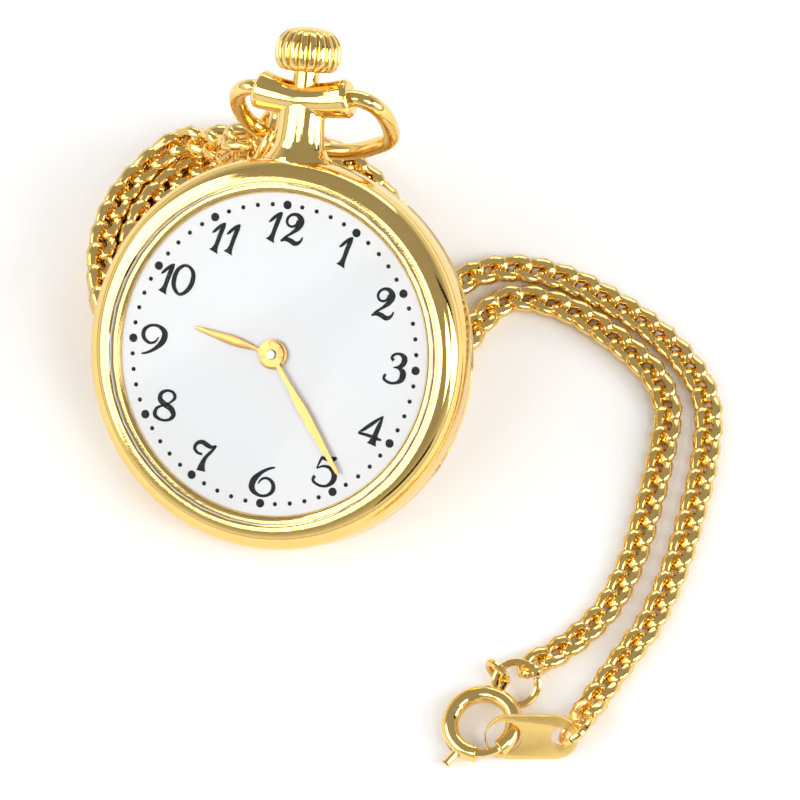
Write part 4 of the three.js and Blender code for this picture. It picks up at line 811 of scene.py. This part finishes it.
class WATCH_OT_dial(bpy.types.Operator):
    """Make the dial with its numerals and dots, the flange ring and the crystal"""

    bl_idname = "watch.dial"
    bl_label = "Dial and crystal"

    def execute(self, context):
        dial = turned("dial_plate", [(0.75, 5.5), (16.2, 5.5), (16.2, 5.86), (16.16, 5.9), (0.78, 5.9),
                                     (0.75, 5.87)])
        finished(dial, WATCH, white_dial(), "case", "dial_white", "dial")

        face = DIAL_FACE + 0.012
        dots = []
        for minute in range(60):
            size = 0.42 if minute % 5 == 0 else 0.215
            turn = math.radians(90 - 6 * minute)
            radius = sizes().dot_radius / MM
            if minute == 0:
                large = dot = dial_dot(size, 24)
            elif minute == 1:
                small = dot = dial_dot(size, 16)
            else:
                original = large if minute % 5 == 0 else small
                dot = bpy.data.objects.new("dial_dot", original.data.copy())
                bpy.context.collection.objects.link(dot)
                dot.data.transform(Matrix.Translation((-dot.data["x"], -dot.data["y"], -face)))
            x, y = radius * math.cos(turn), radius * math.sin(turn)
            dot.data.transform(Matrix.Translation((x, y, face)))
            dot.data["x"], dot.data["y"] = x, y
            dots.append(dot)
        bpy.ops.object.select_all(action="DESELECT")
        for dot in dots:
            dot.select_set(True)
        bpy.context.view_layer.objects.active = dots[0]
        bpy.ops.object.join()
        dots = bpy.context.active_object
        dots.name = dots.data.name = "dial_dots"
        finished(dots, WATCH, black_ink(), "case", "dial_white")

        verts, faces = [], []
        height = sizes().numeral_height / MM
        radius = sizes().numeral_radius / MM
        for hour in range(1, 13):
            text = str(hour)
            turn = math.radians(90 - 30 * hour)
            first = len(verts)
            offset = 0
            for mark in text:
                for line in STROKES[mark][1]:
                    stroke_faces(line, offset, height, verts, faces)
                offset += STROKES[mark][0] + NUMERAL_GAP
            shift_x = radius * math.cos(turn) - numeral_width(text) * height / 2
            shift_y = radius * math.sin(turn) - height / 2
            for i in range(first, len(verts)):
                verts[i] = (verts[i][0] + shift_x, verts[i][1] + shift_y, face)
        mesh = bpy.data.meshes.new("dial_numerals")
        mesh.from_pydata(verts, [], faces)
        numerals = bpy.data.objects.new("dial_numerals", mesh)
        bpy.context.collection.objects.link(numerals)
        alone(numerals)
        bpy.ops.object.mode_set(mode="EDIT")
        bpy.ops.mesh.select_all(action="SELECT")
        bpy.ops.mesh.extrude_region_move(TRANSFORM_OT_translate={"value": (0, 0, 0.02)})
        bpy.ops.mesh.select_all(action="SELECT")
        bpy.ops.mesh.normals_make_consistent(inside=False)
        bpy.ops.object.mode_set(mode="OBJECT")
        finished(numerals, WATCH, black_ink(), "case", "dial_white")

        flange = turned("dial_flange_ring", [
            (15.5, 5.93), (16.1, 5.93), (16.1, 6.38), (15.86, 6.38), (15.7, 6.3), (15.56, 6.12),
        ])
        finished(flange, WATCH, polished_gold(), "case", "gold", "dial_flange")

        dome = [(15.9 * i / 14, 6.6 + 0.8 * (1 - (i / 14) ** 2)) for i in range(15)]
        top = [(16.3 * i / 14, 6.95 + 0.95 * (1 - (i / 14) ** 2)) for i in range(14, -1, -1)]
        edge = [(15.9, 6.5), (16.34, 6.5), (16.34, 6.88)]
        crystal = turned("watch_crystal", [*dome, *edge, *top], closed=False)
        finished(crystal, WATCH, clear_crystal(), "case", "crystal_glass", "crystal")
        return {"FINISHED"}


# ---- Hands ----
def hand(name, length, widest, widest_at, hub, low, thickness, turn):
    """A flat leaf-shaped hand with a round hub."""
    right = [(0.22, hub * 0.92), (0.2, hub + 0.5), (widest * 0.62, length * widest_at * 0.62),
             (widest, length * widest_at), (widest * 0.74, length * 0.72), (0.13, length - 0.12),
             (0.08, length)]
    spine, _ = smooth_line([(x, y, 0) for x, y in right], 0.15)
    edge = [(x, y) for x, y, _ in spine]
    outline = edge + [(-x, y) for x, y in reversed(edge)]
    leaf = plate(name, outline, low, low + thickness)
    high = low + thickness
    disc = turned("hub", [(0, low), (hub, low), (hub, high), (0, high)], 64, closed=False)
    combined(leaf, disc, "UNION")
    softened(leaf, 0.025, 2)
    leaf.data.transform(Matrix.Rotation(-turn, 4, "Z"))
    return leaf


class WATCH_OT_hands(bpy.types.Operator):
    """Make the hour and minute hands and the centre pin"""

    bl_idname = "watch.hands"
    bl_label = "Hands"

    def execute(self, context):
        hour_turn = 2 * math.pi * HOUR_SHOWN / 12
        minute_turn = 2 * math.pi * (HOUR_SHOWN % 1)
        hour = hand("hand_hour", 8.3, 0.48, 0.47, 1.45, 6.15, 0.12, hour_turn)
        finished(hour, WATCH, gilt_leaf(), "hour", "hand_gold", "hour_hand")
        minute = hand("hand_minute", 13.2, 0.44, 0.47, 1.2, 6.45, 0.12, minute_turn)
        finished(minute, WATCH, gilt_leaf(), "minute", "hand_gold", "minute_hand")
        profile = [(0, 6.3), (0.5, 6.3), (0.5, 6.6), (0.43, 6.67), (0, 6.69)]
        pin = turned("hand_pin", profile, 32, closed=False)
        finished(pin, WATCH, grey_steel(), "minute", "steel")
        return {"FINISHED"}


# ---- Pendant, crown and bow ----
HEAD_RADIUS = 1.93
HEAD_DIP = 0.6
# Each cut is a place across a flute, from its groove's middle, and how deep it is there.
FLUTE_CUTS = ((0.0, 1.0), (0.1, 0.4), (0.2, 0.12), (0.3, 0.03))
# Along the crown, from and to a height, the share of a cut's depth.
FLUTE_RUNS = ((0.3, 3.4, 1.0), (0.08, 0.3, 0.5), (3.4, 3.7, 0.7), (3.7, 3.9, 0.35))


class WATCH_OT_pendant(bpy.types.Operator):
    """Make the neck with its saddle head, and the sleeve under the crown"""

    bl_idname = "watch.pendant"
    bl_label = "Pendant"

    def execute(self, context):
        neck = turned("pendant_neck", [
            (0, 17.4), (3.4, 17.4), (3.4, 18.5), (3.2, 18.95), (2.86, 19.35), (2.58, 19.8), (2.42, 20.4),
            (2.34, 21.2), (2.3, 22), (2.28, 23), (2.28, 24), (2.2, 24.8), (0, 24.8),
        ], 96, axis=(0, 1, 0), closed=False)
        neck.data.transform(Matrix.Diagonal((1, 1, 0.7, 1)))
        places, shares = [], []
        for step in range(33):
            along = -4.78 + 9.56 * step / 32
            off = abs(along) / 4.78
            places.append((along, PIVOT.y - HEAD_DIP * (1 - off ** 2), 0))
            shares.append(0.86 + 0.14 * min(1, off * 1.1) ** 2 - 0.16 * max(0, (off - 0.88) / 0.12) ** 3)
        head = wire("pendant_head", places, HEAD_RADIUS, sides=32, swell=shares)
        combined(neck, head, "UNION")
        blended(neck, 0.085, 6)
        room = turned("case_room", [
            (0, -0.5), (12.5, -0.02), *arc(12.5, 2.0, 6.36, 2.02, -80, 0, 12), (18.86, 2.3),
            (18.86, 5.1), *arc(16.9, 5.1, 1.96, 1.87, 3, 90, 16), (0, 6.97),
        ], 144, closed=False)
        room.data.transform(Matrix.Translation((0, 0, -STEM_HEIGHT)))
        combined(neck, room, "DIFFERENCE")
        neck.data.transform(Matrix.Translation((0, 0, STEM_HEIGHT)))
        finished(neck, WATCH, polished_gold(), "case", "gold", "pendant", angle=40)
        sleeve = turned("crown_sleeve", [
            (0.7, 18.9), (1.24, 18.9), (1.24, 28.42), (1.1, 28.52), (0.7, 28.52),
        ], 64, axis=(0, 1, 0))
        sleeve.data.transform(Matrix.Translation((0, 0, STEM_HEIGHT)))
        finished(sleeve, WATCH, polished_gold(), "case", "gold", "stem_sleeve")
        return {"FINISHED"}


class WATCH_OT_crown(bpy.types.Operator):
    """Turn the crown and cut its flutes"""

    bl_idname = "watch.crown"
    bl_label = "Crown"

    def execute(self, context):
        flutes = sizes().flutes
        depth = sizes().flute_depth / MM
        crown = turned("crown_barrel", [
            (1.3, 0), (2.2, 0), (2.6, 0.12), (2.93, 0.42), (3.13, 0.85), (3.22, 1.4), (3.24, 1.95),
            (3.19, 2.42), (3.06, 2.86), (2.85, 3.25), (2.57, 3.57), (2.24, 3.83), (1.82, 4.04),
            (1.3, 4.19), (0.7, 4.28), (0, 4.31), (0, 3.0), (1.3, 3.0),
        ], flutes * 10, axis=(0, 1, 0), closed=True)
        bpy.ops.object.mode_set(mode="EDIT")
        for share, cut in FLUTE_CUTS:
            for low, high, part in FLUTE_RUNS:
                bpy.ops.mesh.select_all(action="DESELECT")
                bpy.ops.object.mode_set(mode="OBJECT")
                radius = 3.2
                for vertex in crown.data.vertices:
                    turn = math.atan2(vertex.co.z, vertex.co.x) * flutes / (2 * math.pi)
                    off = abs(turn - round(turn))
                    wall = math.hypot(vertex.co.x, vertex.co.z) > 2
                    vertex.select = wall and abs(off - share) < 0.02 and low < vertex.co.y <= high
                bpy.ops.object.mode_set(mode="EDIT")
                squeeze = 1 - depth * cut * part / radius
                bpy.ops.transform.resize(value=(squeeze, 1, squeeze), center_override=(0, 0, 0))
        bpy.ops.object.mode_set(mode="OBJECT")
        crown.data.transform(Matrix.Translation((0, CROWN_LOW, STEM_HEIGHT)))
        finished(crown, WATCH, polished_gold(), "crown", "gold", "crown", angle=50)
        return {"FINISHED"}


class WATCH_OT_bow(bpy.types.Operator):
    """Bend the bow and hang the chain's ring on it"""

    bl_idname = "watch.bow"
    bl_label = "Bow and its ring"

    def execute(self, context):
        half = [(4.55, 0, 0), (4.9, 0, 0), (5.55, 0.03, 0), (6.65, 0.75, 0), (7.35, 2.1, 0),
                (7.6, 4.4, 0), (7.1, 7, 0), (5.016, 8.8, 0), (2.508, 10.2, 0)]
        line, _ = smooth_line(half + [(0, 10.6, 0)] + [(-x, y, z) for x, y, z in reversed(half)], 0.25)
        bow = wire("bow_loop", [tuple(point) for point in line], 0.82, sides=28)
        hang = Matrix.Rotation(math.radians(-123), 4, "X")
        finished(bow, WATCH @ Matrix.Translation(PIVOT) @ hang, polished_gold(), "bow", "gold", "bow")
        low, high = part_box("bow_ring")
        centre = (low + high) / 2 / MM
        ring = wire("bow_chain_ring", bent(2.8, 30, 388.8, 96), 0.5, sides=20)
        finished(ring, facing(centre, JOINTS["bow_ring_swing"]["axis"]), polished_gold(), "bow_ring",
                 "gold", "bow_ring")
        return {"FINISHED"}


# ---- Pieces that stay hidden inside the case ----
class WATCH_OT_inside(bpy.types.Operator):
    """Give the movement and the gaskets their finishes"""

    bl_idname = "watch.inside"
    bl_label = "Movement finishes"

    def execute(self, context):
        finishes = {
            "steel": grey_steel, "movement_brass": matt_brass, "copper": copper_winding,
            "circuit_green": green_board, "chip_black": chip_resin, "gasket_rubber": hard_rubber,
            "white_plastic": pale_nylon, "gold": polished_gold, "hand_gold": gilt_leaf,
            "dial_white": white_dial, "crystal_glass": clear_crystal,
        }
        slots = {part["node"]: part["material_slot"] for part in frame["record"]["subparts"]}
        for name, node in frame["nodes"].items():
            node.data.materials.clear()
            node.data.materials.append(finishes[slots[name]]())
        return {"FINISHED"}


# ---- Stage ----
# The room's brightness by height, from straight down (0) through the horizon (0.5) to overhead (1).
ROOM_BANDS = ((0.5, 0.5), (0.57, 1.0), (0.66, 0.62), (0.8, 0.36))
# Soft boxes: place, width and height in metres, and power.
SOFT_BOXES = (
    ("key_box", (-0.5, -0.05, 0.36), 0.5, 0.3, 1.7),
    ("side_box", (0.55, -0.2, 0.28), 0.35, 0.35, 2.4),
    ("back_box", (0.1, 0.55, 0.3), 0.5, 0.2, 0.8),
    ("front_left", (-0.34, -0.42, 0.62), 0.3, 0.3, 1.0),
    ("front_right", (0.34, -0.4, 0.62), 0.3, 0.3, 1.4),
)
# Dark cards: place, width and height in metres.
BLACK_CARDS = (
    ("card_right", (0.32, 0.02, 0.26), 0.05, 0.22),
    ("card_front", (0.1, -0.42, 0.16), 0.3, 0.06),
)


def stage_sheet(name, grey, roughness):
    """A plain grey sheet's finish, for the studio only."""
    sheet = bpy.data.materials.new(name)
    sheet.use_nodes = True
    shader = sheet.node_tree.nodes["Principled BSDF"]
    shader.inputs["Base Color"].default_value = (grey, grey, grey, 1)
    shader.inputs["Roughness"].default_value = roughness
    return sheet


class WATCH_OT_stage(bpy.types.Operator):
    """Set the floor, the lights and the camera"""

    bl_idname = "watch.stage"
    bl_label = "Stage"

    def execute(self, context):
        floor_height = min(0, CAD_BOX[0].z) - 0.0001
        bpy.ops.mesh.primitive_plane_add(size=3, location=(0, 0.3, floor_height))
        floor = bpy.context.active_object
        floor.name = "floor"
        floor.data.materials.append(stage_sheet("studio paper", 0.97, 0.9))

        world = bpy.data.worlds.new("studio")
        context.scene.world = world
        world.use_nodes = True
        nodes, links = world.node_tree.nodes, world.node_tree.links
        sky = nodes["Background"]
        place = nodes.new("ShaderNodeTexCoord")
        split = nodes.new("ShaderNodeSeparateXYZ")
        lift = nodes.new("ShaderNodeVectorMath")
        lift.operation = "MULTIPLY_ADD"
        lift.inputs[1].default_value = (0.5, 0.5, 0.5)
        lift.inputs[2].default_value = (0.5, 0.5, 0.5)
        links.new(place.outputs["Generated"], lift.inputs[0])
        links.new(lift.outputs["Vector"], split.inputs["Vector"])
        ramp = nodes.new("ShaderNodeValToRGB")
        links.new(split.outputs["Z"], ramp.inputs["Fac"])
        ramp.color_ramp.elements[0].position = 0.0
        ramp.color_ramp.elements[0].color = (0.5, 0.5, 0.5, 1)
        ramp.color_ramp.elements[1].position = 1.0
        ramp.color_ramp.elements[1].color = (0.4, 0.4, 0.4, 1)
        for position, value in ROOM_BANDS:
            mark = ramp.color_ramp.elements.new(position)
            mark.color = (value, value, value, 1)
        seen = nodes.new("ShaderNodeLightPath")
        pale = nodes.new("ShaderNodeMix")
        pale.data_type = "RGBA"
        pale.inputs[7].default_value = (0.95, 0.95, 0.95, 1)
        links.new(seen.outputs["Is Camera Ray"], pale.inputs["Factor"])
        links.new(ramp.outputs["Color"], pale.inputs[6])
        links.new(pale.outputs[2], sky.inputs["Color"])
        sky.inputs["Strength"].default_value = 1.0

        aim = Vector((0.01, -0.008, 0.01))
        for name, spot, wide, tall, power in SOFT_BOXES:
            lamp = bpy.data.lights.new(name, "AREA")
            lamp.shape = "RECTANGLE"
            lamp.size = wide
            lamp.size_y = tall
            lamp.energy = power
            holder = bpy.data.objects.new(name, lamp)
            holder.location = spot
            holder.rotation_euler = (aim - Vector(spot)).to_track_quat("-Z", "Y").to_euler()
            context.collection.objects.link(holder)
        black = stage_sheet("black card", 0.004, 1.0)
        for name, spot, wide, tall in BLACK_CARDS:
            bpy.ops.object.select_all(action="DESELECT")
            bpy.ops.mesh.primitive_plane_add(size=1)
            card = bpy.context.active_object
            card.name = card.data.name = name
            turn = (aim - Vector(spot)).to_track_quat("-Z", "Y").to_matrix().to_4x4()
            card.data.transform(Matrix.Translation(spot) @ turn @ Matrix.Diagonal((wide, tall, 1, 1)))
            card.data.materials.append(black)
            card.visible_camera = False
            card.visible_shadow = False

        lens = bpy.data.cameras.new("camera")
        lens.lens = 450
        lens.sensor_width = 36
        lens.clip_start = 0.01
        lens.clip_end = 10
        camera = bpy.data.objects.new("camera", lens)
        camera.location = (0.01137, -0.459492, 0.858034)
        camera.rotation_euler = (math.radians(28), 0, 0)
        context.collection.objects.link(camera)
        context.scene.camera = camera
        context.scene.view_settings.view_transform = "Standard"
        return {"FINISHED"}


class WATCH_PT_pieces(bpy.types.Panel):
    """Lists the watch's sizes and its pieces"""

    bl_label = "Pocket watch"
    bl_idname = "WATCH_PT_pieces"
    bl_space_type = "VIEW_3D"
    bl_region_type = "UI"
    bl_category = "Watch"

    def draw(self, context):
        for name in WatchSizes.__annotations__:
            self.layout.prop(context.scene.watch_sizes, name)
        for maker in MAKERS:
            self.layout.operator(maker.bl_idname)


MAKERS = (
    WATCH_OT_stage, WATCH_OT_inside, WATCH_OT_clasp, WATCH_OT_chain, WATCH_OT_case, WATCH_OT_dial,
    WATCH_OT_hands, WATCH_OT_pendant, WATCH_OT_crown, WATCH_OT_bow,
)
CLASSES = (WatchSizes, *MAKERS, WATCH_PT_pieces)


def register():
    for kind in CLASSES:
        bpy.utils.register_class(kind)
    bpy.types.Scene.watch_sizes = bpy.props.PointerProperty(type=WatchSizes)


def unregister():
    del bpy.types.Scene.watch_sizes
    for kind in reversed(CLASSES):
        bpy.utils.unregister_class(kind)


def main():
    register()
    for maker in MAKERS:
        group, action = maker.bl_idname.split(".")
        getattr(getattr(bpy.ops, group), action)()
    bpy.context.view_layer.update()


if __name__ == "__main__":
    main()
